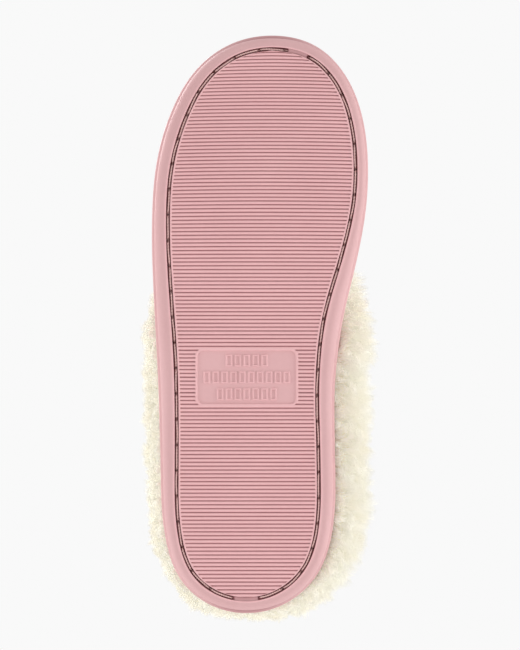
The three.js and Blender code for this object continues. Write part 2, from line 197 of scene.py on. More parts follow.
class Outline:
    """The sole's edge: share 0..1 runs from the toe tip round the medial side and back."""

    def __init__(self):
        low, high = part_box("outsole")
        self.middle = np.array([(low.x + high.x) / 2, (low.y + high.y) / 2])
        self.size = np.array([high.x - low.x, high.y - low.y])
        loop = closed_curve(np.array(OUTLINE_SHAPE) * self.size / 2, FINE)
        for _ in range(2):
            loop = np.stack([smoothed_loop(loop[:, k], SMOOTHING) for k in range(2)], axis=1)
        lowest, highest = loop.min(axis=0), loop.max(axis=0)
        loop = (loop - (lowest + highest) / 2) / (highest - lowest) * self.size + self.middle
        toe, heel = int(np.argmin(loop[:, 1])), int(np.argmax(loop[:, 1]))
        loop = np.roll(loop, -toe, axis=0)
        heel = (heel - toe) % FINE
        self.halves = [self._half(loop[:heel + 1]), self._half(np.vstack([loop[heel:], loop[:1]]))]
        self.perimeter = sum(half[0][-1] for half in self.halves)

    @staticmethod
    def _half(points):
        return run_along(points), points[:, 0], points[:, 1]

    def at(self, share, inset=0.0):
        """Points (..., 2) on the outline, moved inwards by inset."""
        share = np.mod(np.asarray(share, float), 1.0)
        medial = share < 0.5
        axes = []
        for axis in (1, 2):
            first, second = self.halves
            a = np.interp(np.clip(share * 2, 0, 1) * first[0][-1], first[0], first[axis])
            b = np.interp(np.clip(share * 2 - 1, 0, 1) * second[0][-1], second[0], second[axis])
            axes.append(np.where(medial, a, b))
        point = np.stack(axes, axis=-1)
        if np.all(np.asarray(inset) == 0):
            return point
        along = self.at(share + LOOK_AHEAD) - self.at(share - LOOK_AHEAD)
        along /= np.linalg.norm(along, axis=-1, keepdims=True)
        inward = np.stack([-along[..., 1], along[..., 0]], axis=-1)
        return point + inward * np.asarray(inset)[..., None]


OUTLINE = Outline()


def sole_length():
    return OUTLINE.size[1]


def toe_spring(y, sole):
    """Lift of the sole at Y, along the toe's arc."""
    run = np.maximum(OUTLINE.middle[1] + sole.spring_start - y, 0)
    return sole.spring_radius - np.sqrt(sole.spring_radius ** 2 - run ** 2)


def lifted(xy, z, sole):
    """Points over plan places xy at height z above the curled-up sole plane."""
    return np.concatenate([xy, (z + toe_spring(xy[..., 1], sole))[..., None]], axis=-1)


# ---------------------------------------------------------------- meshes
def build_mesh(name, points, faces, smooth=True):
    """An object from points and a list of index arrays, one array for each face size."""
    mesh = bpy.data.meshes.new(name)
    mesh.vertices.add(len(points))
    mesh.vertices.foreach_set("co", np.asarray(points, np.float32).ravel())
    corners = np.concatenate([f.ravel() for f in faces])
    totals = np.concatenate([np.full(len(f), f.shape[1]) for f in faces])
    mesh.loops.add(len(corners))
    mesh.loops.foreach_set("vertex_index", corners.astype(np.int32))
    mesh.polygons.add(len(totals))
    starts = np.concatenate([[0], np.cumsum(totals)[:-1]])
    mesh.polygons.foreach_set("loop_start", starts.astype(np.int32))
    mesh.update(calc_edges=True)
    mesh.polygons.foreach_set("use_smooth", np.full(len(totals), smooth))
    thing = bpy.data.objects.new(name, mesh)
    bpy.context.scene.collection.objects.link(thing)
    return thing


def weld(thing, distance=1e-6):
    """Joins points that lie closer than distance."""
    work = bmesh.new()
    work.from_mesh(thing.data)
    bmesh.ops.remove_doubles(work, verts=work.verts, dist=distance)
    work.to_mesh(thing.data)
    work.free()


def grid_quads(index):
    """Quads over a 2-D array of vertex numbers."""
    quads = np.stack([index[:-1, :-1], index[1:, :-1], index[1:, 1:], index[:-1, 1:]], axis=-1)
    return quads.reshape(-1, 4)


def sheet_faces(outer, inner, start=True, top_from=0):
    """Quads of a sheet between two grids of vertex numbers, closed at its foot, its top and its ends."""
    faces = [grid_quads(outer), grid_quads(inner)[:, ::-1]]
    foot = np.stack([inner[:, 0], outer[:, 0]])
    top = np.stack([outer[top_from:, -1], inner[top_from:, -1]])
    faces += [grid_quads(pair)[:, ::-1] for pair in (foot, top)]
    faces.append(grid_quads(np.stack([outer[-1], inner[-1]])))
    if start:
        faces.append(grid_quads(np.stack([inner[0], outer[0]])))
    return np.concatenate(faces)


def add_uv(thing, uv):
    """The map that the materials are baked on, one place for each corner of each face."""
    layer = thing.data.uv_layers.new(name="OFBake")
    layer.uv.foreach_set("vector", np.asarray(uv, np.float32).ravel())


def add_share(thing, name, values):
    """One value for each point, for a material to read by name."""
    layer = thing.data.attributes.new(name, "FLOAT", "POINT")
    layer.data.foreach_set("value", np.asarray(values, np.float32))


def finish_piece(thing, material, slot, *nodes):
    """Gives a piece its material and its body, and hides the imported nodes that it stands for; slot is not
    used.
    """
    thing.data.materials.clear()
    thing.data.materials.append(material)
    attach(thing, BODY)
    if nodes:
        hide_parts(*nodes)
    return thing


# ---------------------------------------------------------------- shape of the upper
# Where the opening starts: the throat and the rounded corner behind it, as shares of the outline.
LOOP_STEPS = 80
THROAT = 16 / LOOP_STEPS
CORNER = 7 / LOOP_STEPS
SEAM_ROW = 8 / 13
SIDE_ROUNDNESS = 0.87
ANKLE_CUT = 0.37
HEEL_CUT = 0.45
ANKLE_END = 60 * MM
SEAM_GAP = 0.15 * MM
FOOT_GAP = 0.3 * MM
CREST_BLEND = 0.1
SLOPE_U = 0.003
SLOPE_V = 0.01


class Upper:
    """The upper's faces: u is the share round the outline, v runs from the cup wall to the crest line."""

    def __init__(self, scene):
        self.sole = scene.slipper_sole
        self.size = scene.slipper_upper
        self.throat_y = float(OUTLINE.at(THROAT)[1])
        self.half = OUTLINE.size[1] / 2
        self.middle_y = OUTLINE.middle[1]
        self.heel_crest = self.middle_y + self.half - self.size.heel_round

    def crest_height(self, y):
        """Height of the crest line at Y: a parabola through the toe, the throat and the heel."""
        toe, throat, heel = self.middle_y - self.half, self.throat_y, self.heel_crest
        part_toe = (y - throat) * (y - heel) / ((toe - throat) * (toe - heel))
        part_throat = (y - toe) * (y - heel) / ((throat - toe) * (throat - heel))
        part_heel = (y - toe) * (y - throat) / ((heel - toe) * (heel - throat))
        size = self.size
        front = size.toe_height * part_toe + size.instep_height * part_throat
        return front + size.heel_height * part_heel

    def crest(self, u):
        """Plan place on the crest line that the section at u rises to."""
        middle = (OUTLINE.at(u) + OUTLINE.at(1 - np.asarray(u))) / 2
        share = (middle[..., 1] - self.middle_y) / (2 * self.half) + 0.5
        front = self.middle_y - self.half + self.size.toe_round
        return np.stack([middle[..., 0], front + (self.heel_crest - front) * share], axis=-1)

    def face(self, u, v):
        """Points on the upper's outer face."""
        u, v = np.broadcast_arrays(np.asarray(u, float), np.asarray(v, float))
        angle = v * np.pi / 2
        in_share = 1 - np.maximum(np.cos(angle), 0) ** SIDE_ROUNDNESS
        up_share = np.maximum(np.sin(angle), 0) ** SIDE_ROUNDNESS
        crest = self.crest(u)
        size = self.size
        base_y = OUTLINE.at(u, np.full(u.shape, size.inset))[..., 1]
        y = base_y + (crest[..., 1] - base_y) * in_share
        rise = (self.crest_height(y) - size.skirt) * up_share
        swollen = OUTLINE.at(u, size.inset - size.bulge * smooth_rise(rise / size.bulge_rise))
        plan = swollen + (crest - swollen) * in_share[..., None]
        return lifted(plan, size.skirt + rise, self.sole)

    def _side_normal(self, u, v):
        """Outward normals of one side alone."""
        level = np.clip(v, SLOPE_V, 0.97)
        along = self.face(u + SLOPE_U, level) - self.face(u - SLOPE_U, level)
        up = self.face(u, level + SLOPE_V) - self.face(u, level - SLOPE_V)
        normal = np.cross(along, up)
        return normal / np.linalg.norm(normal, axis=-1, keepdims=True)

    def normal(self, u, v):
        """Outward normals, in which the two sides meet smoothly at the crest."""
        u, v = np.broadcast_arrays(np.asarray(u, float), np.asarray(v, float))
        normal = self._side_normal(u, v)
        blend = smooth_rise((v - 1 + CREST_BLEND) / CREST_BLEND)[..., None] * 0.5
        mixed = normal * (1 - blend) + self._side_normal(1 - u, v) * blend
        return mixed / np.linalg.norm(mixed, axis=-1, keepdims=True)

    def point(self, u, v, depth):
        """Points at a depth under the outer face."""
        return self.face(u, v) - self.normal(u, v) * np.asarray(depth)[..., None]

    def cut(self, u):
        """Share of the section that stands at u: 1 on the vamp, less round the opening."""
        side = np.where(np.asarray(u) > 0.5, 1 - np.asarray(u), u)
        from_corner = np.clip((THROAT + CORNER - side) / CORNER, 0, 1)
        front = 1 - (1 - ANKLE_CUT) * np.sqrt(1 - from_corner ** 2)
        y = OUTLINE.at(side)[..., 1] - self.middle_y
        back = ANKLE_CUT + (HEEL_CUT - ANKLE_CUT) * smooth_rise((y - ANKLE_END) / (self.half - ANKLE_END))
        return np.where(side < THROAT + CORNER, front, back)

    def grid(self, rows, rise, depth):
        """Rows by rise shares of the upper at one depth, with a straight skirt down into the cup."""
        u = np.asarray(rows)[:, None]
        v = self.cut(u) * np.asarray(rise)[None, :]
        points = self.point(u, v, np.full(v.shape, depth))
        foot = points[:, :1].copy()
        foot[..., 2] = self.sole.floor + FOOT_GAP + toe_spring(foot[..., 1], self.sole)
        return np.concatenate([foot, points], axis=1)

    @staticmethod
    def corner_rows(first, last, count):
        """Shares round the opening's rounded front, from and to a share of its quarter turn."""
        turn = np.linspace(first, last, count) * np.pi / 2
        return THROAT + CORNER * (1 - np.cos(turn))


# ---------------------------------------------------------------- node groups and materials
def add_node(tree, kind, **inputs):
    made = tree.nodes.new(kind)
    for key, value in inputs.items():
        made.inputs[key.replace("_", " ")].default_value = value
    return made


def new_group(name, inputs, outputs):
    group = bpy.data.node_groups.new(name, "ShaderNodeTree")
    for label, kind, default in inputs:
        socket = group.interface.new_socket(name=label, in_out="INPUT", socket_type=kind)
        socket.default_value = default
    for label, kind in outputs:
        group.interface.new_socket(name=label, in_out="OUTPUT", socket_type=kind)
    return group, group.nodes.new("NodeGroupInput"), group.nodes.new("NodeGroupOutput")


def mottle_group():
    """Two colours mixed by cloudy patches and fine specks."""
    group, given, result = new_group("mottle", (
        ("Light", "NodeSocketColor", (0.8, 0.8, 0.8, 1)),
        ("Dark", "NodeSocketColor", (0.4, 0.4, 0.4, 1)),
        ("Patch Scale", "NodeSocketFloat", 30.0),
        ("Speck Scale", "NodeSocketFloat", 900.0),
        ("Speck Share", "NodeSocketFloat", 0.3),
    ), (("Colour", "NodeSocketColor"), ("Mask", "NodeSocketFloat")))
    place = group.nodes.new("ShaderNodeTexCoord")
    patch = add_node(group, "ShaderNodeTexNoise", Detail=4.0, Roughness=0.55)
    speck = add_node(group, "ShaderNodeTexNoise", Detail=2.0, Roughness=0.6)
    both = group.nodes.new("ShaderNodeMix")
    ramp = add_node(group, "ShaderNodeMapRange", From_Min=0.3, From_Max=0.7)
    mix = group.nodes.new("ShaderNodeMix")
    mix.data_type = "RGBA"
    link = group.links.new
    for noise, scale in ((patch, "Patch Scale"), (speck, "Speck Scale")):
        link(place.outputs["Object"], noise.inputs["Vector"])
        link(given.outputs[scale], noise.inputs["Scale"])
    link(given.outputs["Speck Share"], both.inputs[0])
    link(patch.outputs["Fac"], both.inputs[2])
    link(speck.outputs["Fac"], both.inputs[3])
    link(both.outputs[0], ramp.inputs["Value"])
    link(ramp.outputs["Result"], mix.inputs[0])
    link(given.outputs["Dark"], mix.inputs[6])
    link(given.outputs["Light"], mix.inputs[7])
    link(mix.outputs[2], result.inputs["Colour"])
    link(ramp.outputs["Result"], result.inputs["Mask"])
    return group


def nap_group():
    """Height of short fibres: fine noise stretched along the nap, over soft tufts."""
    group, given, result = new_group("nap", (
        ("Fibre Scale", "NodeSocketFloat", 1500.0),
        ("Tuft Scale", "NodeSocketFloat", 250.0),
        ("Tuft Share", "NodeSocketFloat", 0.5),
    ), (("Height", "NodeSocketFloat"),))
    place = group.nodes.new("ShaderNodeTexCoord")
    stretch = group.nodes.new("ShaderNodeMapping")
    stretch.inputs["Scale"].default_value = (1.0, 0.45, 1.0)
    fibre = add_node(group, "ShaderNodeTexNoise", Detail=3.0, Roughness=0.7)
    tuft = add_node(group, "ShaderNodeTexNoise", Detail=2.0, Roughness=0.5)
    both = group.nodes.new("ShaderNodeMix")
    link = group.links.new
    link(place.outputs["Object"], stretch.inputs["Vector"])
    link(stretch.outputs["Vector"], fibre.inputs["Vector"])
    link(place.outputs["Object"], tuft.inputs["Vector"])
    link(given.outputs["Fibre Scale"], fibre.inputs["Scale"])
    link(given.outputs["Tuft Scale"], tuft.inputs["Scale"])
    link(given.outputs["Tuft Share"], both.inputs[0])
    link(fibre.outputs["Fac"], both.inputs[2])
    link(tuft.outputs["Fac"], both.inputs[3])
    link(both.outputs[0], result.inputs["Height"])
    return group


def shared_group(name, maker):
    return bpy.data.node_groups.get(name) or maker()


def material(name, roughness, **surface):
    """A material with its Principled shader; surface holds plain values for the shader's own sockets."""
    made = bpy.data.materials.new(name)
    made.use_nodes = True
    shader = made.node_tree.nodes["Principled BSDF"]
    shader.inputs["Roughness"].default_value = roughness
    for key, value in surface.items():
        shader.inputs[key.replace("_", " ")].default_value = value
    return made, made.node_tree, shader


def put_mottle(tree, light, dark, patch, speck, share):
    made = tree.nodes.new("ShaderNodeGroup")
    made.node_tree = shared_group("mottle", mottle_group)
    made.inputs["Light"].default_value = (*light, 1)
    made.inputs["Dark"].default_value = (*dark, 1)
    made.inputs["Patch Scale"].default_value = patch
    made.inputs["Speck Scale"].default_value = speck
    made.inputs["Speck Share"].default_value = share
    return made


def put_nap(tree, shader, fibre, tuft, share, strength, depth):
    made = tree.nodes.new("ShaderNodeGroup")
    made.node_tree = shared_group("nap", nap_group)
    made.inputs["Fibre Scale"].default_value = fibre
    made.inputs["Tuft Scale"].default_value = tuft
    made.inputs["Tuft Share"].default_value = share
    bump = add_node(tree, "ShaderNodeBump", Strength=strength, Distance=depth)
    tree.links.new(made.outputs["Height"], bump.inputs["Height"])
    tree.links.new(bump.outputs["Normal"], shader.inputs["Normal"])


def vary_roughness(tree, shader, mask, low, high):
    span = add_node(tree, "ShaderNodeMapRange", To_Min=low, To_Max=high)
    tree.links.new(mask, span.inputs["Value"])
    tree.links.new(span.outputs["Result"], shader.inputs["Roughness"])


# How the rubber's colour is darkened by painted shade: each point's value, from 0, darkest, to 1, no shade.
PAINTED_SHADE_RAMP = ((0.0, (0.38, 0.24, 0.24)), (0.2, (0.56, 0.46, 0.48)), (0.5, (0.8, 0.82, 0.81)),
               (0.999, (1, 1, 1)))


def rubber_material(sole):
    """Moulded rubber: faint cloudy colour, fine matt grain, painted shade read from each point, lightest on
    the rib tops.
    """
    made, tree, shader = material("sole_rubber", 0.5, Specular_IOR_Level=0.28)
    mottle = put_mottle(tree, sole.rubber, sole.rubber_dark, 28, 700, 0.35)
    # Painted shade: each point's value darkens the rubber's colour through the ramp.
    painted_shade = tree.nodes.new("ShaderNodeAttribute")
    painted_shade.attribute_name = "painted_shade"
    shades = tree.nodes.new("ShaderNodeValToRGB")
    stops = shades.color_ramp.elements
    stops[0].color = (*PAINTED_SHADE_RAMP[0][1], 1)
    for place, shade in PAINTED_SHADE_RAMP[1:]:
        stops.new(place).color = (*shade, 1)
    stops.remove(stops[-1])
    mix = tree.nodes.new("ShaderNodeMix")
    mix.data_type = "RGBA"
    mix.blend_type = "MULTIPLY"
    mix.inputs[0].default_value = 1
    tree.links.new(painted_shade.outputs["Fac"], shades.inputs["Fac"])
    tree.links.new(mottle.outputs["Colour"], mix.inputs[6])
    tree.links.new(shades.outputs["Color"], mix.inputs[7])
    tree.links.new(mix.outputs[2], shader.inputs["Base Color"])
    vary_roughness(tree, shader, mottle.outputs["Mask"], 0.58, 0.44)
    put_nap(tree, shader, 1100, 260, 0.35, 0.12, 0.0002)
    return made


def thread_material(name, light):
    """Twisted thread: its light colour mottled with a shade of it, and a fine fibrous grain."""
    made, tree, shader = material(name, 0.55, Sheen_Weight=0.3)
    shade = [0.8 * value for value in light]
    mottle = put_mottle(tree, light, shade, 180, 2500, 0.6)
    tree.links.new(mottle.outputs["Colour"], shader.inputs["Base Color"])
    vary_roughness(tree, shader, mottle.outputs["Mask"], 0.65, 0.45)
    put_nap(tree, shader, 6000, 1800, 0.3, 0.4, 0.0001)
    return made


def pile_material(name, light, dark, patch, speck, tuft, depth):
    """Short-pile fabric: velour, plush or felt, by the size of its tufts."""
    made, tree, shader = material(name, 0.9, Sheen_Weight=0.55, Sheen_Roughness=0.4,
                                  Specular_IOR_Level=0.15)
    mottle = put_mottle(tree, light, dark, patch, speck, 0.45)
    tree.links.new(mottle.outputs["Colour"], shader.inputs["Base Color"])
    vary_roughness(tree, shader, mottle.outputs["Mask"], 0.97, 0.82)
    put_nap(tree, shader, speck, tuft, 0.55, 0.55, depth)
    return made


def fur_material(name, fur):
    """Long pile: darker roots, pale tips, a few warmer locks, all from each strand's own values; a painted
    glow from emission.
    """
    # The emission is a painted glow that stands in for light scattered through the pile.
    made, tree, shader = material(name, 0.75, Sheen_Weight=0.25, Sheen_Roughness=0.5,
                                  Specular_IOR_Level=0.25, Emission_Color=(*fur.painted_glow_colour, 1),
                                  Emission_Strength=fur.painted_glow)
    along = tree.nodes.new("ShaderNodeAttribute")
    along.attribute_name = "along"
    warm = tree.nodes.new("ShaderNodeAttribute")
    warm.attribute_name = "warmth"
    mottle = put_mottle(tree, fur.light, fur.warm, 60, 1400, 0.3)
    rooted = tree.nodes.new("ShaderNodeMix")
    rooted.data_type = "RGBA"
    rooted.inputs[6].default_value = (*fur.dark, 1)
    tinted = tree.nodes.new("ShaderNodeMix")
    tinted.data_type = "RGBA"
    tinted.inputs[7].default_value = (*fur.warm, 1)
    tree.links.new(along.outputs["Fac"], rooted.inputs[0])
    tree.links.new(mottle.outputs["Colour"], rooted.inputs[7])
    tree.links.new(warm.outputs["Fac"], tinted.inputs[0])
    tree.links.new(rooted.outputs[2], tinted.inputs[6])
    tree.links.new(tinted.outputs[2], shader.inputs["Base Color"])
    vary_roughness(tree, shader, mottle.outputs["Mask"], 0.85, 0.65)
    return made


def board_material(name, light, dark):
    """Matt board or foam: two close colours and a fine open grain."""
    made, tree, shader = material(name, 0.85, Specular_IOR_Level=0.2)
    mottle = put_mottle(tree, light, dark, 90, 1500, 0.5)
    tree.links.new(mottle.outputs["Colour"], shader.inputs["Base Color"])
    vary_roughness(tree, shader, mottle.outputs["Mask"], 0.95, 0.75)
    put_nap(tree, shader, 2200, 500, 0.4, 0.3, 0.0002)
    return made


# ---------------------------------------------------------------- outsole
# One rib: phase from its middle, in pitches, and height share there.
RIB_PROFILE = ((-0.5, 0.0), (-0.4, 0.05), (-0.31, 0.78), (-0.2, 0.97), (0.0, 1.0), (0.2, 0.97),
               (0.31, 0.78), (0.4, 0.05))
GATHER_START = 20 * MM
GATHER_GROWTH = 1.5
BOW_START = 10 * MM
BOW_RUN = 60 * MM
BOW_EASE = 3 * MM

# How far the channel swings in from its usual inset, in millimetres, by Y as a share of the half length.
MEDIAL_SWING = ((-1, 0), (-0.85, -0.9), (-0.45, -0.95), (-0.3, -0.15), (-0.15, 1.0), (-0.02, 1.8),
                (0.07, 1.75), (0.2, 1.2), (0.4, 0.7), (0.6, 0.78), (0.8, 0.3), (1, 0))
LATERAL_SWING = ((-1, 0), (-0.8, 0.6), (-0.45, 0.33), (-0.15, 0.95), (0.06, 1.57), (0.27, 1.25),
                 (0.54, 0.4), (0.8, -0.15), (1, 0))
SWING_STEPS = 1440
SWING_SMOOTHING = 30

# Widths in millimetres of the plain blocks in the size panel's three rows, and the rows' places in it.
PANEL_BARS = ((2.7,) * 5, (2.7,) * 10, (2.7,) * 7)
BAR_ROWS = (0.21, 0.5, 0.79)
BAR_HEIGHT = 5.0
BAR_GAP = 1.05
BAR_LINE = 0.3
BAR_RISE = 0.75
BAR_EDGE = 0.22 * MM
PAD_EDGE = 0.25 * MM
BORDER_EDGE = 0.3 * MM

# Steps of the tread's mesh.
COUNT_STEPS = 8000
LOOKUP_STEPS = 6000
SIDE_COLUMNS = 9
MIDDLE_COLUMNS = 12
MIDDLE_BAND = (0.2, 0.8)
EDGE_COLUMNS = (0.0, 0.12, 0.6, 0.74, 0.88)
PAD_STEP = 0.26 * MM
PAD_HUG = 0.14 * MM
PAD_HOLD = 20 * MM
PAD_LEAVE = 40 * MM
END_ROWS = 8
END_LEAD = 0.012 * MM
ROW_GAP = 0.02 * MM
EDGE_SLIVER = 0.02 * MM
EDGE_DROP = 0.06 * MM
TINY = 1e-9


def channel_swing(share):
    """Extra inset of the channel at a share round the loop, smoothed along it."""
    around = np.linspace(0, 1, SWING_STEPS + 1)
    y = OUTLINE.at(np.clip(around, TINY, 1 - TINY))[:, 1] - OUTLINE.middle[1]
    height = y / (sole_length() / 2)
    medial = np.interp(height, *np.array(MEDIAL_SWING).T)
    lateral = np.interp(height, *np.array(LATERAL_SWING).T)
    swing = np.where(around <= 0.5, medial, lateral)[:-1] * MM
    swing = smoothed_loop(swing, SWING_SMOOTHING)
    return np.interp(np.mod(share, 1.0), around, np.append(swing, swing[0]))


class Tread:
    """Rows of the tread from toe to heel, and the height of its ribs, border and size panel."""

    def __init__(self, sole):
        self.sole = sole
        self.edge = sole.channel_inset + sole.channel_width / 2
        self.shares = [self._lookup(0.0, 0.5), self._lookup(1.0, 0.5)]
        first = self.shares[0][0][0]
        last = self.shares[0][0][-1]
        self.pad_low = OUTLINE.middle[1] + sole.pad_y - sole.pad_ribs * sole.rib_pitch / 2
        self.pad_high = self.pad_low + sole.pad_ribs * sole.rib_pitch
        self.ribs = self._rib_count(first - 5 * MM, last + 5 * MM)
        self.y = self._rows(first, last)
        self.pad_rows = [int(np.argmin(abs(self.y - y))) for y in (self.pad_low, self.pad_high)]
        self.pad_x = self._pad_middle()

    def _lookup(self, start, end):
        share = np.clip(np.linspace(start, end, LOOKUP_STEPS + 1), TINY, 1 - TINY)
        return self.edge_at(share)[..., 1], share

    def _rib_count(self, first, last):
        """Ribs counted from the size panel's front edge, closer together towards the toe."""
        y = np.linspace(first, last, COUNT_STEPS + 1)
        forward = np.maximum(OUTLINE.middle[1] + GATHER_START - y, 0)
        toe_run = sole_length() / 2 + GATHER_START
        gathered = self.sole.rib_gather * (forward / toe_run) ** GATHER_GROWTH
        count = np.cumsum((y[1] - y[0]) / (self.sole.rib_pitch * (1 - gathered)))
        return y, count - np.interp(self.pad_low, y, count)

    def _rows(self, first, last):
        """Y of the mesh's rows: a few to each rib, and close ones at both ends and in the size panel."""
        phases = np.array([phase for phase, _ in RIB_PROFILE])
        whole = np.arange(math.floor(self.rib_number(first)) - 1, math.ceil(self.rib_number(last)) + 2)
        on_ribs = np.interp((whole[:, None] + phases[None, :]).ravel(), self.ribs[1], self.ribs[0])
        lead = END_LEAD * np.arange(1, END_ROWS + 1) ** 2
        in_pad = np.arange(self.pad_low, self.pad_high, PAD_STEP)
        y = np.concatenate([on_ribs, first + lead, last - lead, in_pad, [self.pad_low, self.pad_high]])
        inside = (y > first + ROW_GAP / 4) & (y < last - ROW_GAP / 4)
        y = np.unique(np.round(y[inside], 7))
        return y[np.concatenate([[True], np.diff(y) > ROW_GAP])]

    def rib_number(self, y):
        """Ribs between the size panel's front edge and Y."""
        return np.interp(y, self.ribs[0], self.ribs[1])

    def edge_at(self, share):
        """Plan places on the channel's inner edge."""
        return OUTLINE.at(share, self.edge + channel_swing(share))

    def share_at(self, side, y):
        """Share of the loop at Y, on the medial side (0) or the lateral side (1)."""
        heights, shares = self.shares[side]
        return np.interp(y, heights, shares)

    def _pad_middle(self):
        y = OUTLINE.middle[1] + self.sole.pad_y
        ends = [self.edge_at(self.share_at(side, y))[0] for side in (0, 1)]
        return float(sum(ends) / 2)

    def rib(self, y):
        """Height share of the ribs at Y."""
        phase = self.rib_number(y)
        phase = phase - np.round(phase)
        known = np.array(RIB_PROFILE + ((0.5, 0.0),))
        return np.interp(phase, known[:, 0], known[:, 1])

    def panel(self, x, y):
        """Height share inside the size panel, and whether the place is inside it."""
        sole = self.sole
        half = np.array([sole.pad_width / 2, (self.pad_high - self.pad_low) / 2])
        away = np.stack([abs(x - self.pad_x), abs(y - (self.pad_low + self.pad_high) / 2)], axis=-1)
        past = away - half + sole.pad_corner
        distance = (np.linalg.norm(np.maximum(past, 0), axis=-1)
                    + np.minimum(past.max(axis=-1), 0) - sole.pad_corner)
        line = 1 - smooth_rise((-distance - sole.pad_line) / PAD_EDGE)
        raised = np.zeros(np.shape(x))
        for place, widths in zip(BAR_ROWS, PANEL_BARS):
            bar_y = self.pad_low + (self.pad_high - self.pad_low) * place
            total = sum(widths) + BAR_GAP * (len(widths) - 1)
            left = self.pad_x - total * MM / 2
            for width in widths:
                middle = left + width * MM / 2
                left += (width + BAR_GAP) * MM
                beside = abs(x - middle) - width * MM / 2
                outside = np.maximum(beside, abs(y - bar_y) - BAR_HEIGHT * MM / 2)
                hollow = abs(outside + BAR_LINE * MM) - BAR_LINE * MM
                raised = np.maximum(raised, BAR_RISE * (1 - smooth_rise(hollow / BAR_EDGE + 0.5)))
        return np.maximum(line, raised), distance < 0.0


def tread_height(tread, x, y_row, y, from_edge):
    """Height share of the tread: 1 on the ribs, 0 in the grooves."""
    border = 1 - smooth_rise((from_edge - tread.sole.border) / BORDER_EDGE)
    raised, inside = tread.panel(x, y)
    return np.where(inside, raised, np.maximum(tread.rib(y_row), border))


# Painted shade of the rubber: 0, darkest, deep in the channel; 1, its own colour, on the rib tops.
LAND = 1.0
RIM = 0.57
FIELD = 0.78
GROOVE = 0.2
# Painted shade across the channel's profile, then along the seam under the lip.
CHANNEL_PAINTED_SHADE = (0.1, 0.0, 0.0, 0.0, 0.0, 0.0, 0.15, 0.95, 1.0, 0.85)
SEAM_PAINTED_SHADE = (0.5, 0.3, 0.1, 0.1, 0.38, 0.4, 0.42, 0.45)

# Places in the sole's profile, counted from the tread outwards.
SPLIT_RING = 2
CHANNEL_FLOOR = (2, 3, 4)
CHANNEL_END = 6
LAND_RING = 8
ROUND_START = 12
ROUND_STEPS = 10
SEAM_START = ROUND_START + ROUND_STEPS

ROUND_HEIGHT = 3.3 * MM
ROUND_FOOT = 0.32 * MM
ROUND_GAP = 1.5 * MM
# The side of the cup: inset and drop from the wall's top, in millimetres. First the seam under the lip,
# whose insets are from the lip's overhang, then the lip.
SEAM_PROFILE = ((0.0, 6.9), (0.1, 4.2), (0.35, 3.7), (0.3, 3.3))
LIP_PROFILE = ((0.35, 3.0), (0.08, 2.5), (0.0, 1.8), (0.1, 0.9), (0.5, 0.15), (1.1, 0.0))
END_TUCK = 0.5 * MM

HOLE_RADIUS = 0.25 * MM
HOLE_EDGE = 0.3 * MM
HOLE_DEPTH = 1.3 * MM
# Where the channel is filled over a buried stitch: share round the loop and half its length.
BURIED = ((0.5, 5.9 * MM), (0.023, 4.9 * MM))
BURIED_DEPTH = 0.45 * MM
BURIED_STEP = 0.3 * MM
BURIED_EDGE = 0.6 * MM
# Painted shade where the channel is filled, lighter than deep in the open channel.
BURIED_PAINTED_SHADE = 0.36


def sole_profile(sole):
    """The ring round the tread: inset from the edge and height, from the tread out and up into the cup."""
    inner = sole.channel_inset + sole.channel_width / 2
    outer = sole.channel_inset - sole.channel_width / 2
    deep = sole.channel_depth
    points = [
        (inner - 0.03 * MM, 0.3 * MM), (inner - 0.06 * MM, deep - 0.3 * MM), (inner - 0.3 * MM, deep),
        (sole.channel_inset, deep), (outer + 0.3 * MM, deep), (outer + 0.06 * MM, deep - 0.3 * MM),
        (outer + 0.03 * MM, 0.25 * MM), (outer - 0.08 * MM, 0.04 * MM), (outer - 0.3 * MM, 0.0),
        (outer - 0.55 * MM, 0.04 * MM), (outer - 0.85 * MM, 0.2 * MM), (outer - 1.3 * MM, 0.3 * MM),
    ]
    round_width = outer - ROUND_GAP - sole.lip
    for turn in np.linspace(0, np.pi / 2, ROUND_STEPS):
        inset = sole.lip + round_width * (1 - math.sin(turn))
        points.append((inset, ROUND_FOOT + ROUND_HEIGHT * (1 - math.cos(turn))))
    top = sole.wall_height
    points += [(sole.lip + inset * MM, top - drop * MM) for inset, drop in SEAM_PROFILE]
    points += [(inset * MM, top - drop * MM) for inset, drop in LIP_PROFILE]
    corner = 0.4 * MM
    points += [(sole.wall - corner, top), (sole.wall, top - corner), (sole.wall, sole.floor)]
    return np.array(points)


def stitch_places(sole, shares):
    """Place within the stitch, 0..1, at each share of the loop, and the way to the nearest needle hole."""
    around = np.linspace(0, 1, SWING_STEPS + 1)
    run = run_along(OUTLINE.at(around, sole.channel_inset + channel_swing(around)))
    step = run[-1] / sole.stitches
    from_heel = np.interp(np.mod(shares, 1.0), around, run) - np.interp(0.5, around, run)
    turn = np.mod(from_heel / step + 0.5, 1.0)
    return turn, np.minimum(turn, 1 - turn) * step


def buried(shares, blend):
    """1 where the channel is filled over the thread, 0 elsewhere."""
    mask = np.zeros(np.shape(shares))
    for middle, reach in BURIED:
        way = abs(np.mod(shares - middle + 0.5, 1.0) - 0.5) * OUTLINE.perimeter
        mask = np.maximum(mask, 1 - smooth_rise((way - reach) / blend))
    return mask


def part_of(name, points, painted_shade, faces):
    """One closed piece of the sole, from those of the points that its faces use."""
    used = np.unique(np.concatenate([f.ravel() for f in faces]))
    place = np.zeros(len(points), int)
    place[used] = np.arange(len(used))
    thing = build_mesh(name, points[used], [place[f] for f in faces])
    add_share(thing, "painted_shade", painted_shade[used])
    weld(thing, 2e-6)
    return thing


def rungs(ring, rows):
    """Faces across a ring, from its medial to its lateral side, that face up."""
    medial = ring[1:rows + 1]
    lateral = ring[:rows + 1:-1]
    quads = np.stack([medial[1:], lateral[1:], lateral[:-1], medial[:-1]], axis=-1)
    ends = np.array([(medial[0], lateral[0], ring[0]), (lateral[-1], medial[-1], ring[rows + 1])])
    return [quads, ends]


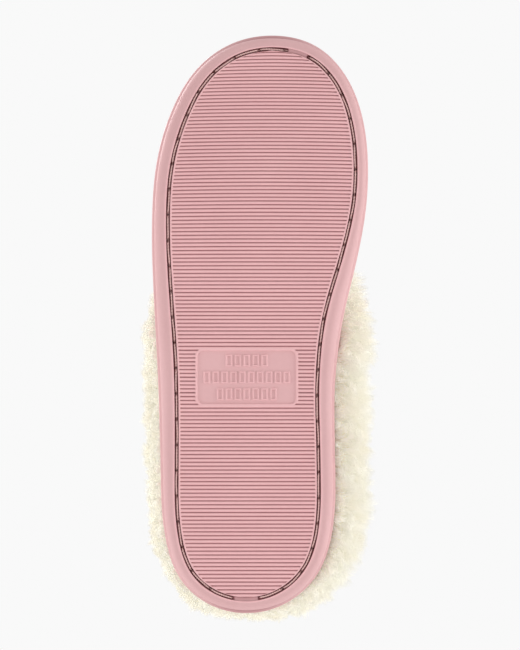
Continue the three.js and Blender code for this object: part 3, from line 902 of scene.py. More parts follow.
def joined_rows(coarse, fine, fine_first):
    """Faces between a row of few points and a row with several points to each of its steps."""
    step = (len(fine) - 1) // (len(coarse) - 1)
    faces = []
    for k in range(len(coarse) - 1):
        part = fine[k * step:(k + 1) * step + 1]
        if fine_first:
            faces.append([*part[::-1], coarse[k], coarse[k + 1]])
        else:
            faces.append([coarse[k + 1], coarse[k], *part])
    return np.array(faces)


def sole_rings(sole, stations, edge):
    """Points and painted shade of the rings from the tread's edge over the channel and up into the cup."""
    count = len(stations)
    swing = channel_swing(stations)
    outward = OUTLINE.at(stations) - OUTLINE.at(stations, np.full(count, MM))
    sideways = smooth_rise(abs(outward[:, 0]) / MM / 0.8)
    filled = buried(stations, BURIED_EDGE)
    hole = stitch_places(sole, stations)[1]
    pit = HOLE_DEPTH * (1 - smooth_rise((hole - HOLE_RADIUS) / HOLE_EDGE)) * (1 - filled)
    points = [lifted(edge, np.full(count, EDGE_DROP), sole)]
    painted_shade = [np.full(count, LAND)]
    for place, (inset, z) in enumerate(sole_profile(sole)):
        away = np.interp(place, [LAND_RING, SEAM_START], [1, 0])
        tuck = np.interp(place, [ROUND_START, SEAM_START - 1, SEAM_START + 3, SEAM_START + 4], [0, 1, 1, 0])
        ring = OUTLINE.at(stations, inset + swing * away + END_TUCK * (1 - sideways) * tuck)
        height = z + (pit if place in CHANNEL_FLOOR else np.zeros(count))
        if place < CHANNEL_END:
            fill = BURIED_DEPTH + (BURIED_STEP if place < SPLIT_RING else 0)
            height = height + (np.minimum(z, fill) - height) * filled
        points.append(lifted(ring, height, sole))
        # Painted shade: darkest deep in the channel, dark along the seam under the lip, less where the edge
        # faces sideways.
        shade = np.full(count, RIM)
        if place < len(CHANNEL_PAINTED_SHADE):
            open_painted_shade = CHANNEL_PAINTED_SHADE[place]
            shade = open_painted_shade + (max(BURIED_PAINTED_SHADE, open_painted_shade) - open_painted_shade) * filled
        elif 0 <= place - SEAM_START < len(SEAM_PAINTED_SHADE):
            seam_painted_shade = SEAM_PAINTED_SHADE[place - SEAM_START]
            shade = seam_painted_shade + (RIM - seam_painted_shade) * sideways
        painted_shade.append(shade)
    return points, painted_shade


def side_columns(edge_x, band_x):
    """X of the columns from the tread's edge to its middle band, closer together at both."""
    span = abs(band_x - edge_x)
    way = np.sign(band_x - edge_x)[:, None]
    even = np.linspace(0, 1, len(EDGE_COLUMNS))
    close = np.minimum(np.array(EDGE_COLUMNS) * MM, 0.5 * span[:, None] * even + TINY)
    more = np.linspace(0, 1, SIDE_COLUMNS)[1:-1]
    spread = close[:, -1:] + (span - close[:, -1] - PAD_HUG)[:, None] * more
    steps = np.concatenate([close, spread, span[:, None] - PAD_HUG, span[:, None]], axis=1)
    return edge_x[:, None] + way * steps


def tread_columns(tread, lateral_x, medial_x):
    """X of the columns, with their first row: the lateral side, the medial side, the middle, the panel."""
    sole = tread.sole
    from_pad = abs(tread.y - (tread.pad_low + tread.pad_high) / 2)
    leave = smooth_rise((from_pad - PAD_HOLD) / PAD_LEAVE)
    width = medial_x - lateral_x
    left, right = (
        (1 - leave) * (tread.pad_x + way * sole.pad_width / 2) + leave * (lateral_x + width * share)
        for way, share in zip((-1, 1), MIDDLE_BAND)
    )
    low, high = tread.pad_rows
    fine_steps = int(round(sole.pad_width / PAD_STEP / MIDDLE_COLUMNS)) * MIDDLE_COLUMNS
    middle, fine = (left[:, None] + (right - left)[:, None] * np.linspace(0, 1, steps + 1)
                    for steps in (MIDDLE_COLUMNS, fine_steps))
    return ((side_columns(lateral_x, left), 0), (side_columns(medial_x, right)[:, ::-1], 0),
            (middle, 0), (fine[low:high + 1], low))


def tread_patch(tread, x, first_row, lateral_x, medial_x):
    """Points and painted shade of the tread's rows from first_row on, with columns at x."""
    rows = slice(first_row, first_row + len(x))
    left = lateral_x[rows, None]
    right = medial_x[rows, None]
    y_row = tread.y[rows, None] + np.zeros(x.shape)
    from_edge = np.minimum(x - left, right - x)
    bend = 1 - ((x - (left + right) / 2) / ((right - left) / 2)) ** 2
    fore = smooth_rise((OUTLINE.middle[1] - BOW_START - y_row) / BOW_RUN)
    ease = np.clip((x - left) / BOW_EASE, 0, 1) * np.clip((right - x) / BOW_EASE, 0, 1)
    y = y_row - tread.sole.rib_bow * bend * fore * ease
    share = tread_height(tread, x, y_row, y, from_edge)
    z = np.where(from_edge < EDGE_SLIVER, EDGE_DROP, tread.sole.rib_depth * (1 - share))
    # Painted shade: darker in the grooves between the ribs, none on their tops, a little in the size
    # panel's field.
    rib_painted_shade = GROOVE + (LAND - GROOVE) * smooth_rise((share - 0.45) / 0.45)
    in_panel = FIELD + (LAND - FIELD) * smooth_rise((share - 0.3) / 0.5)
    painted_shade = np.where(tread.panel(x, y)[1], in_panel, rib_painted_shade)
    return lifted(np.stack([x, y], axis=-1), z, tread.sole).reshape(-1, 3), painted_shade.ravel()


def outsole_meshes(sole):
    """The tread's block inside the channel, and the cup round and over it."""
    tread = Tread(sole)
    rows = len(tread.y)
    stations = np.concatenate([[0.0], tread.share_at(0, tread.y), [0.5], tread.share_at(1, tread.y)[::-1]])
    edge = tread.edge_at(stations)
    points, painted_shade = sole_rings(sole, stations, edge)
    rings = np.arange(len(points) * len(stations)).reshape(len(points), -1)
    closed = np.concatenate([rings, rings[:, :1]], axis=1)
    cup_faces = [grid_quads(closed[SPLIT_RING:])[:, ::-1]] + rungs(rings[-1], rows)
    cup_faces += [faces[:, ::-1] for faces in rungs(rings[SPLIT_RING], rows)]
    faces = [grid_quads(closed[:SPLIT_RING + 1])[:, ::-1]] + rungs(rings[SPLIT_RING], rows)

    medial_x = edge[1:rows + 1, 0]
    lateral_x = edge[:rows + 1:-1, 0]
    base = rings.size
    patches = []
    for x, first_row in tread_columns(tread, lateral_x, medial_x):
        places, painted_shades = tread_patch(tread, x, first_row, lateral_x, medial_x)
        points.append(places)
        painted_shade.append(painted_shades)
        patches.append(base + np.arange(x.size).reshape(x.shape))
        base += x.size
    left, right, middle, fine = patches
    low, high = tread.pad_rows
    faces += [grid_quads(part) for part in (left, right, middle[:low], middle[high + 1:], fine)]
    faces.append(joined_rows(middle[low - 1], fine[0], False))
    faces.append(joined_rows(middle[high + 1], fine[-1], True))
    toe_fan, heel_fan = (np.concatenate([left[row], middle[row][1:], right[row][1:]]) for row in (0, -1))
    tips = [(rings[0][0], a, b) for a, b in zip(toe_fan[:-1], toe_fan[1:])]
    tips += [(rings[0][rows + 1], a, b) for a, b in zip(heel_fan[1:], heel_fan[:-1])]
    faces.append(np.array(tips))
    points = np.concatenate(points)
    painted_shade = np.concatenate(painted_shade)
    return part_of("outsole_tread", points, painted_shade, faces), part_of("outsole_cup", points, painted_shade, cup_faces)


# ---------------------------------------------------------------- stitching
STITCH_STEPS = 26
THREAD_SIDES = 6
THREAD_LIFT = 1.0 * MM
THREAD_ARCH = 0.12 * MM
THREAD_SHIFT = 0.05 * MM
PLY_SPREAD = 0.85
TWIST_PITCH = 2.6 * MM
DIP_DEPTH = 1.6 * MM
DIP_EDGE = 0.8 * MM
BURIED_SINK = 2.6 * MM
BURIED_DIVE = 1.2 * MM


def stitching_mesh(sole):
    """Two twisted plies that dip into a needle hole at each end of every stitch."""
    steps = sole.stitches * STITCH_STEPS
    shares = np.arange(steps) / steps
    turn, reach = stitch_places(sole, shares)
    dip = 1 - smooth_rise((reach - HOLE_RADIUS) / DIP_EDGE)
    z = sole.channel_depth - THREAD_LIFT - THREAD_ARCH * np.sin(turn * np.pi) + DIP_DEPTH * dip
    z += BURIED_SINK * buried(shares, BURIED_DIVE)
    wander = 0.12 * MM * np.sin(shares * 2 * np.pi * 17) + 0.08 * MM * np.sin(shares * 2 * np.pi * 41)
    inset = sole.channel_inset + channel_swing(shares) + THREAD_SHIFT + wander * (1 - dip)
    path = lifted(OUTLINE.at(shares, inset), z, sole)
    along = np.roll(path, -1, axis=0) - np.roll(path, 1, axis=0)
    along /= np.linalg.norm(along, axis=1, keepdims=True)
    side = np.cross(along, [0, 0, 1])
    side /= np.linalg.norm(side, axis=1, keepdims=True)
    up = np.cross(side, along)
    twists = round(OUTLINE.perimeter / TWIST_PITCH)
    around = np.arange(THREAD_SIDES) / THREAD_SIDES * 2 * np.pi
    wheel = np.cos(around)[None, :, None] * side[:, None] + np.sin(around)[None, :, None] * up[:, None]
    points, faces = [], []
    for ply in range(2):
        angle = shares * 2 * np.pi * twists + ply * np.pi
        off_path = np.cos(angle)[:, None] * side + np.sin(angle)[:, None] * up
        centre = path + sole.thread * PLY_SPREAD * off_path
        index = ply * steps * THREAD_SIDES + np.arange(steps * THREAD_SIDES).reshape(steps, THREAD_SIDES)
        index = np.concatenate([index, index[:1]])
        index = np.concatenate([index, index[:, :1]], axis=1)
        points.append((centre[:, None] + sole.thread * wheel).reshape(-1, 3))
        faces.append(grid_quads(index))
    return build_mesh("seam_thread", np.concatenate(points), faces)


# ---------------------------------------------------------------- fabric layers
VAMP_ROWS = 110
VAMP_COLUMNS = 56
CALM_BAND = 0.08
QUARTER_COLUMNS = 30
QUARTER_FRONT_ROWS = 24
QUARTER_BACK_ROWS = 80


def wrinkles(points, normal, amount, seed):
    """Soft uneven swelling of a padded fabric, from a few crossing waves."""
    rng = np.random.default_rng(seed)
    total = np.zeros(points.shape[:-1])
    for _ in range(14):
        wave = rng.normal(size=3)
        wave *= rng.uniform(60, 260) / np.linalg.norm(wave)
        total += np.sin(points @ wave + rng.uniform(0, 2 * np.pi)) * rng.uniform(0.4, 1.0)
    return points + normal * (amount * total / 3.6)[..., None]


def pucker(u, v):
    """Small gathers where the vamp is drawn in round the toe."""
    side = np.where(u > 0.5, 1 - u, u)
    toe = 1 - smooth_rise((side - 0.06) / 0.12)
    low = np.exp(-((v - 0.16) / 0.13) ** 2)
    waves = np.sin(u * 2 * np.pi * 58) * 0.6 + np.sin(u * 2 * np.pi * 37 + 1.3) * 0.4
    return 0.32 * MM * toe * low * waves


def fabric_places(upper, u, rise):
    """The u and v of a sheet's points, its skirt's foot with them, and the fabric's normals there."""
    v = np.concatenate([[0], rise])[None, :] * upper.cut(u)[:, None]
    u = u[:, None] + np.zeros(v.shape)
    return u, v, upper.normal(u, v)


def vamp_side(upper, u, rise, depth, swell, gathered):
    """One side of the vamp at one depth, swollen by its padding where swell isn't 0."""
    flat = upper.grid(u, rise, depth)
    if not swell:
        return flat
    u, v, normal = fabric_places(upper, u, rise)
    grid = wrinkles(flat, normal, swell, SEED) - normal * swell
    if gathered:
        grid += normal * (pucker(u, v) * np.clip(v / CALM_BAND, 0, 1))[..., None]
    grid[:, :2] = flat[:, :2]
    return grid


def vamp_sheet(name, upper, depth, thickness, swell):
    """The vamp at one depth: both sides joined along the crest, open round the foot's way in."""
    front = np.linspace(0, THROAT, VAMP_ROWS, endpoint=False)
    rows = np.concatenate([front, Upper.corner_rows(0, SEAM_ROW, VAMP_ROWS // 2 + 1)])
    rise = np.linspace(0, 1, VAMP_COLUMNS)
    points, faces, crest = [], [], {}
    start = 0
    for u in (rows, 1 - rows):
        sheets = []
        for level in (depth, depth + thickness):
            grid = vamp_side(upper, u, rise, level, swell, level == depth)
            joined = crest.setdefault(level, grid)
            grid[:VAMP_ROWS + 1, -1] = joined[:VAMP_ROWS + 1, -1]
            grid[0] = joined[0]
            sheets.append(grid)
        index = start + np.arange(2 * sheets[0][..., 0].size).reshape(2, *sheets[0].shape[:2])
        quads = sheet_faces(index[0], index[1], start=False, top_from=VAMP_ROWS)
        faces.append(quads if start == 0 else quads[:, ::-1])
        start += index.size
        points += [sheet.reshape(-1, 3) for sheet in sheets]
    thing = build_mesh(name, np.concatenate(points), [np.concatenate(faces)])
    weld(thing)
    return thing


def quarter_sheet(name, upper, rows, rise, depth, thickness, swell=0.0):
    """A sheet of the sides or the heel, between two depths under the upper's face."""
    sheets = []
    for level in (depth, depth + thickness):
        grid = upper.grid(rows, rise, level)
        if swell:
            normal = fabric_places(upper, rows, rise)[2]
            grid[:, 2:-1] = wrinkles(grid, normal, swell, SEED + 1)[:, 2:-1]
        sheets.append(grid)
    index = np.arange(2 * sheets[0][..., 0].size).reshape(2, *sheets[0].shape[:2])
    quads = sheet_faces(index[0], index[1])
    if rows[-1] < rows[0]:
        quads = quads[:, ::-1]
    return build_mesh(name, np.concatenate([sheet.reshape(-1, 3) for sheet in sheets]), [quads])


TOPSTITCH_LENGTH = 2.8 * MM
TOPSTITCH_RADIUS = 0.36 * MM
TOPSTITCH_INSET = 2.0 * MM
TOPSTITCH_SPAN = (0.05, 0.9)
TOPSTITCH_PITCH = 1.2
TOPSTITCH_RINGS = 7
TOPSTITCH_SIDES = 8


def topstitch_mesh(name, upper, side):
    """Short stitches up the quarter, beside its front seam, whose ends sink into the fabric."""
    seam = Upper.corner_rows(SEAM_ROW, 1, 2)[0] + TOPSTITCH_INSET / OUTLINE.perimeter
    rise = np.linspace(*TOPSTITCH_SPAN, 600)
    u = np.full(len(rise), seam if side == 0 else 1 - seam)
    v = rise * upper.cut(u)
    path = upper.face(u, v)
    run = run_along(path)
    along = np.gradient(path, axis=0)
    along /= np.linalg.norm(along, axis=1, keepdims=True)
    guides = (path, upper.normal(u, v), along)
    pitch = TOPSTITCH_LENGTH * TOPSTITCH_PITCH
    place = np.linspace(0, 1, TOPSTITCH_RINGS)
    sunk = (2 * place - 1) ** 4
    around = np.arange(TOPSTITCH_SIDES) / TOPSTITCH_SIDES * 2 * np.pi
    each = TOPSTITCH_RINGS * TOPSTITCH_SIDES
    points, faces = [], []
    for stitch in range(int(run[-1] / pitch)):
        at = (stitch + place / TOPSTITCH_PITCH) * pitch
        centre, out, way = (np.stack([np.interp(at, run, guide[:, k]) for k in range(3)], axis=1)
                            for guide in guides)
        centre = centre + out * (TOPSTITCH_RADIUS * (0.7 - 1.8 * sunk))[:, None]
        across = np.cross(way, out)
        turn = (np.cos(around)[None, :, None] * across[:, None]
                + np.sin(around)[None, :, None] * out[:, None])
        radius = TOPSTITCH_RADIUS * (1 - 0.35 * sunk)
        points.append((centre[:, None] + turn * radius[:, None, None]).reshape(-1, 3))
        index = stitch * each + np.arange(each).reshape(TOPSTITCH_RINGS, TOPSTITCH_SIDES)
        faces.append(grid_quads(np.concatenate([index, index[:, :1]], axis=1)))
    first = (np.arange(len(points)) * each)[:, None] + np.arange(TOPSTITCH_SIDES)
    last = first + each - TOPSTITCH_SIDES
    return build_mesh(name, np.concatenate(points), [np.concatenate(faces), first[:, ::-1], last])


FOOTBED_ROWS = 260
FOOTBED_COLUMNS = 56
FOAM_THICKNESS = 5.3 * MM
FOOTBED_EDGE = 0.3 * MM
CROWN_HEIGHT = 2.6 * MM
CROWN_RADIUS = 4 * MM
HEEL_SEAT = 1.3 * MM
BALL_SEAT = 0.9 * MM


def footbed_mesh(upper):
    """The plush cover of the footbed: crowned edge, shallow heel seat and ball seat."""
    sole = upper.sole
    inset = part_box("sock_lining")[0].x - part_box("outsole")[0].x
    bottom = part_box("memory_foam_insole")[0].z + FOAM_THICKNESS
    rows, columns = FOOTBED_ROWS, FOOTBED_COLUMNS
    shares = np.linspace(0, 0.5, rows + 2)[1:-1]
    across = (1 - np.cos(np.linspace(0, np.pi, columns + 1))) / 2
    right = OUTLINE.at(shares, np.full(rows, inset))
    left = OUTLINE.at(1 - shares, np.full(rows, inset))
    plan = left[:, None] + (right - left)[:, None] * across[None, :, None]
    width = np.linalg.norm(right - left, axis=1)[:, None]
    to_side = np.minimum(across, 1 - across)[None, :] * width
    to_end = np.minimum(np.linspace(0, 1, rows), np.linspace(1, 0, rows))[:, None] * sole_length()
    from_rim = np.minimum(to_side, np.maximum(to_end, 0.2 * MM) * 1.4 + 0.15 * MM)
    crown = CROWN_HEIGHT * np.sqrt(1 - (1 - np.clip(from_rim / CROWN_RADIUS, 0, 1)) ** 2)
    y_share = (plan[..., 1] - OUTLINE.middle[1]) / (sole_length() / 2)
    heel = HEEL_SEAT * np.exp(-((y_share - 0.62) / 0.3) ** 2) * smooth_rise(to_side / (24 * MM))
    ball = BALL_SEAT * np.exp(-((y_share + 0.4) / 0.25) ** 2) * smooth_rise(to_side / (26 * MM))
    top = lifted(plan, bottom + crown - heel - ball + FOOTBED_EDGE, sole)
    top = wrinkles(top, np.zeros(top.shape) + [0, 0, 1], 0.12 * MM, SEED + 3)
    under = lifted(plan, np.full(plan.shape[:2], bottom), sole)
    index = np.arange(2 * rows * (columns + 1)).reshape(2, rows, columns + 1)
    quads = sheet_faces(index[0], index[1])[:, ::-1]
    return build_mesh("footbed_plush", np.concatenate([top.reshape(-1, 3), under.reshape(-1, 3)]), [quads])


# ---------------------------------------------------------------- fur cuff
LOW_SHARE = 0.03
FRONT_REACH = 0.035
EDGE_SHARE = 0.62
CORNER_ROWS = 70
BACK_ROWS = 150
SECTION_STEPS = 5
SKIN = 0.9 * MM
ROLL = 10 * MM
LAYERS = 6.9 * MM
LUMPS = 1.0 * MM


class Cuff:
    """The cuff's body under the pile: sections from its low edge up over the opening's edge."""

    def __init__(self, upper, backing, side):
        turn = np.linspace(0.0, 1.0, CORNER_ROWS) * np.pi / 2
        corner = THROAT + CORNER
        back = np.linspace(corner, 0.5, BACK_ROWS)[1:]
        edge_u = np.concatenate([corner - CORNER * np.cos(turn), back])
        edge_v = np.concatenate([1 - (1 - ANKLE_CUT) * np.sin(turn), upper.cut(back)])
        low_u = np.concatenate([corner - CORNER * np.cos(turn) - FRONT_REACH * np.cos(turn) ** 2, back])
        low_v = np.concatenate([1 - (1 - LOW_SHARE) * np.sin(turn) ** 2.2, np.full(len(back), LOW_SHARE)])
        if side == 1:
            edge_u, low_u = 1 - edge_u, 1 - low_u
        self.upper = upper
        self.flipped = side == 1
        self.points = self._smooth(self._sections(edge_u, edge_v, low_u, low_v, backing))

    def _sections(self, edge_u, edge_v, low_u, low_v, backing):
        """Control points round each section: outer face upwards, roll, then the inner face downwards."""
        upper = self.upper
        outer, inner = [], []
        low_normal = upper.normal(low_u, low_v)
        self.out = low_normal * [1, 1, 0]
        self.out /= np.linalg.norm(self.out, axis=1, keepdims=True)
        low = EDGE_SHARE * fullness(low_normal)
        backing = backing * (0.35 + 0.65 * fullness(low_normal))
        for share in np.linspace(0, 1, 6):
            u = low_u + (edge_u - low_u) * share
            v = low_v + (edge_v - low_v) * share
            full = backing * (low + (1 - low) * math.sin(min(share * 1.4, 1) * math.pi / 2))
            inner.append(upper.point(u, v, np.full(u.shape, -SKIN)))
            outer.append(upper.point(u, v, -full))
        edge = upper.face(edge_u, edge_v)
        normal = upper.normal(edge_u, edge_v)
        below = upper.face(edge_u + (low_u - edge_u) * 0.1, edge_v + (low_v - edge_v) * 0.1)
        rise = edge - below
        rise /= np.linalg.norm(rise, axis=1, keepdims=True)

        def shift(up, out):
            return edge + rise * up + normal * (out + np.zeros(len(edge)))[:, None]

        inner[-1] = shift(SKIN, SKIN)
        outer[-1] = shift(ROLL * 0.3, backing * 0.9)
        outer += [shift(ROLL * 0.75, backing * 0.3), shift(ROLL * 0.75, -LAYERS * 0.7),
                  shift(ROLL * 0.25, -LAYERS - 4 * MM)]
        inner += [shift(SKIN, -LAYERS / 2), shift(SKIN, -LAYERS - 1.2 * MM)]
        self.outer_count = len(outer)
        return np.stack(outer + inner[::-1], axis=1)

    @staticmethod
    def _smooth(controls):
        """A closed Catmull-Rom curve round every section."""
        t = (np.arange(SECTION_STEPS) / SECTION_STEPS)[None, :, None]
        spans = []
        count = controls.shape[1]
        for i in range(count):
            a, b, c, d = (controls[:, (i + k - 1) % count][:, None] for k in range(4))
            spans.append(0.5 * (2 * b + (c - a) * t + (2 * a - 5 * b + 4 * c - d) * t ** 2
                                + (3 * b - a - 3 * c + d) * t ** 3))
        return np.concatenate(spans, axis=1)

    def body(self, name):
        """The backing as a closed mesh, lumpy on its outer face."""
        points = self.points
        along = np.gradient(points, axis=0)
        around = np.roll(points, -1, axis=1) - np.roll(points, 1, axis=1)
        normal = np.cross(along, around)
        normal /= np.linalg.norm(normal, axis=-1, keepdims=True) + 1e-12
        if self.flipped:
            normal = -normal
        self.normals = normal
        outward = np.zeros(points.shape[1])
        outward[:(self.outer_count - 1) * SECTION_STEPS + 1] = 1
        self.points = points + normal * (LUMPS * outward)[None, :, None] * lump_field(points)[..., None]
        rows, count = points.shape[:2]
        index = np.arange(rows * count).reshape(rows, count)
        quads = grid_quads(np.concatenate([index, index[:, :1]], axis=1))
        caps = [index[0][None, ::-1], index[-1][None, :]]
        if self.flipped:
            quads, caps = quads[:, ::-1], [cap[:, ::-1] for cap in caps]
        return build_mesh(name, self.points.reshape(-1, 3), [quads] + caps)


def fullness(normal):
    """How full the pile stands by the way it faces: most on the medial side, least behind the heel."""
    level = np.linalg.norm(normal[..., :2], axis=-1) + TINY
    across = normal[..., 0] / level
    return 0.08 + 0.92 * np.maximum(across, 0) ** 1.3 + 0.15 * np.maximum(-across, 0) ** 1.3


def lump_field(points):
    """Uneven swelling of the backing, about -1 to 1, from a few crossing waves."""
    rng = np.random.default_rng(SEED + 7)
    total = np.zeros(points.shape[:-1])
    for _ in range(12):
        wave = rng.normal(size=3)
        wave *= rng.uniform(150, 420) / np.linalg.norm(wave)
        total += np.sin(points @ wave + rng.uniform(0, 2 * np.pi))
    return total / 4


def strand_roots(cuff, count, rng):
    """Random places on the cuff's outer face, spread evenly by area, with normals and levels up it."""
    under = SECTION_STEPS
    reach = (cuff.outer_count - 1) * SECTION_STEPS + 1 + under
    p = np.roll(cuff.points, under, axis=1)[:, :reach]
    n = np.roll(cuff.normals, under, axis=1)[:, :reach]
    a, b, c, d = p[:-1, :-1], p[1:, :-1], p[1:, 1:], p[:-1, 1:]
    area = np.linalg.norm(np.cross(c - a, d - b), axis=-1) / 2
    weight = area.ravel() / area.sum()
    cell = rng.choice(area.size, size=count, p=weight)
    i, j = np.unravel_index(cell, area.shape)
    s, t = rng.random(count)[:, None], rng.random(count)[:, None]
    low = a[i, j] * (1 - s) * (1 - t) + b[i, j] * s * (1 - t)
    place = low + c[i, j] * s * t + d[i, j] * (1 - s) * t
    level = (j - under) / (reach - 1 - under)
    normal = n[i, j] + cuff.out[i] * np.interp(level, [0, 0.15], [1.6, 0])[:, None]
    return place, normal / np.linalg.norm(normal, axis=1, keepdims=True), level


def comb(place, normal, level, fur, rng, spread):
    """Curves of the strands: out of the skin, then over and down with the nap."""
    count = len(place)
    down = np.array([0, 0, -1.0])
    fall = down - normal * (normal @ down)[:, None]
    fall /= np.linalg.norm(fall, axis=1, keepdims=True) + TINY
    loose = rng.normal(size=(count, 3)) * spread
    full = np.where(level > 0.8, 0.7, fullness(normal))[:, None]
    start = normal * 0.9 + fall * 0.35 + loose
    start /= np.linalg.norm(start, axis=1, keepdims=True)
    end = normal * 0.45 * full + fall * 0.75 + loose * 1.5
    end[:, 2] -= 0.15
    end /= np.linalg.norm(end, axis=1, keepdims=True)
    reach = fur.pile * (0.72 + 0.4 * rng.random(count)) * (0.5 + 0.5 * full[:, 0])
    reach *= np.interp(level, [-0.1, 0, 0.12, 0.75, 1], [0.6, 0.8, 1, 0.95, 0.6])
    t = np.linspace(0, 1, STRAND_RINGS)[None, :, None]
    bend = start[:, None] * (t - t ** 2 / 2) + end[:, None] * (t ** 2 / 2)
    return place[:, None] + bend * reach[:, None, None]


def gather(curves, guides, guide_roots, roots, rng):
    """Draws each strand towards the nearest guide, more at its tip, so that the pile falls in locks."""
    nearest = np.empty(len(roots), int)
    for start in range(0, len(roots), NEAREST_BATCH):
        part = roots[start:start + NEAREST_BATCH]
        distance = ((part[:, None] - guide_roots[None]) ** 2).sum(axis=2)
        nearest[start:start + NEAREST_BATCH] = distance.argmin(axis=1)
    t = np.linspace(0, 1, curves.shape[1])[None, :, None]
    pull = (0.86 * t ** 1.3) * (0.6 + 0.4 * rng.random(len(roots)))[:, None, None]
    return curves * (1 - pull) + guides[nearest] * pull, nearest


# A strand: rings along it with its tip, sides of its section, and its width at each ring but the tip.
STRAND_RINGS = 6
STRAND_SIDES = 3
STRAND_TAPER = (1.0, 0.95, 0.8, 0.6, 0.35)
STRANDS_PER_PIECE = 6500
LOCK_LOOSENESS = 0.34
STRAND_LOOSENESS = 0.16
ROOT_DEPTH = 0.6 * MM
FUR_CLEARANCE = 1.2 * MM
NEAREST_BATCH = 4000


def strand_faces(count, each):
    """Quads and triangles of all the strands: a base, sides and a point to each."""
    last = (STRAND_RINGS - 2) * STRAND_SIDES
    after = [(k, (k + 1) % STRAND_SIDES) for k in range(STRAND_SIDES)]
    quads = [(low + STRAND_SIDES + k, low + STRAND_SIDES + m, low + m, low + k)
             for low in range(0, last, STRAND_SIDES) for k, m in after]
    triangles = [(0, 1, 2)] + [(last + STRAND_SIDES, last + m, last + k) for k, m in after]
    offset = (np.arange(count) * each)[:, None, None]
    quads = np.array(quads)[None] + offset
    triangles = np.array(triangles)[None] + offset
    return quads.reshape(-1, 4), triangles.reshape(-1, 3)


def strand_mesh(name, curves, along, warmth, width):
    """Closed three-sided strands that taper to a point."""
    count = len(curves)
    axis = np.gradient(curves, axis=1)
    axis /= np.linalg.norm(axis, axis=2, keepdims=True) + 1e-12
    side = np.cross(axis, np.array([0.31, 0.87, 0.38]))
    side /= np.linalg.norm(side, axis=2, keepdims=True) + 1e-12
    up = np.cross(side, axis)
    angles = np.arange(STRAND_SIDES) / STRAND_SIDES * 2 * np.pi
    wheel = (np.cos(angles)[None, None, :, None] * side[:, :-1, None]
             + np.sin(angles)[None, None, :, None] * up[:, :-1, None])
    widths = width[:, None] * np.array(STRAND_TAPER)[None, :]
    rim = curves[:, :-1, None] + wheel * widths[..., None, None] / 2
    body = np.concatenate([rim.reshape(count, -1, 3), curves[:, -1:]], axis=1)
    each = body.shape[1]
    quads, triangles = strand_faces(count, each)
    thing = build_mesh(name, body.reshape(-1, 3), [quads, triangles])
    up_strand = np.repeat(np.linspace(0, 1, STRAND_RINGS)[:-1], STRAND_SIDES)
    levels = np.append(up_strand, 1.0)
    add_share(thing, "along", (along[:, None] * levels[None, :] ** 0.7).ravel())
    add_share(thing, "warmth", np.repeat(warmth, each))
    cells = math.ceil(math.sqrt(count))
    corner = np.stack([np.arange(count) % cells, np.arange(count) // cells], axis=1) / cells
    local = np.stack([np.tile(np.arange(STRAND_SIDES) / STRAND_SIDES, STRAND_RINGS - 1), up_strand], axis=1)
    local = np.concatenate([local, [[0.4, 1.0]]]) * 0.8 + 0.1
    uv = (corner[:, None] + local[None] / cells).reshape(-1, 2)
    add_uv(thing, uv[np.concatenate([quads.ravel(), triangles.ravel()])])
    return thing


# ---------------------------------------------------------------- operators
# Strength of the even light: from the lowest direction up to level, and what is taken off it overhead.
BELOW_LIGHT = (0.55, 0.95)
OVERHEAD_DIM = (0.0, 0.4)
# Each lamp's name, place, width and power in watts. All aim at the middle of the slipper.
LAMPS = (
    ("left_panel", (-1.3, 0.6, -0.5), 1.3, 9.0),
    ("right_panel", (1.4, 0.1, -0.5), 1.3, 10.0),
    ("top_key", (-0.9, -0.7, 1.3), 0.9, 13.0),
    ("top_fill", (1.0, 0.8, 1.0), 1.4, 3.0),
)
AIM_HEIGHT = 30 * MM
FLOOR_HALF = 60.0
FLOOR_DROP = 0.05 * MM
FLOOR_FADE = (0.25, 0.6)
SOLE_PLANE = 5 * MM
VIEW_SHIFT = 0.6 * MM


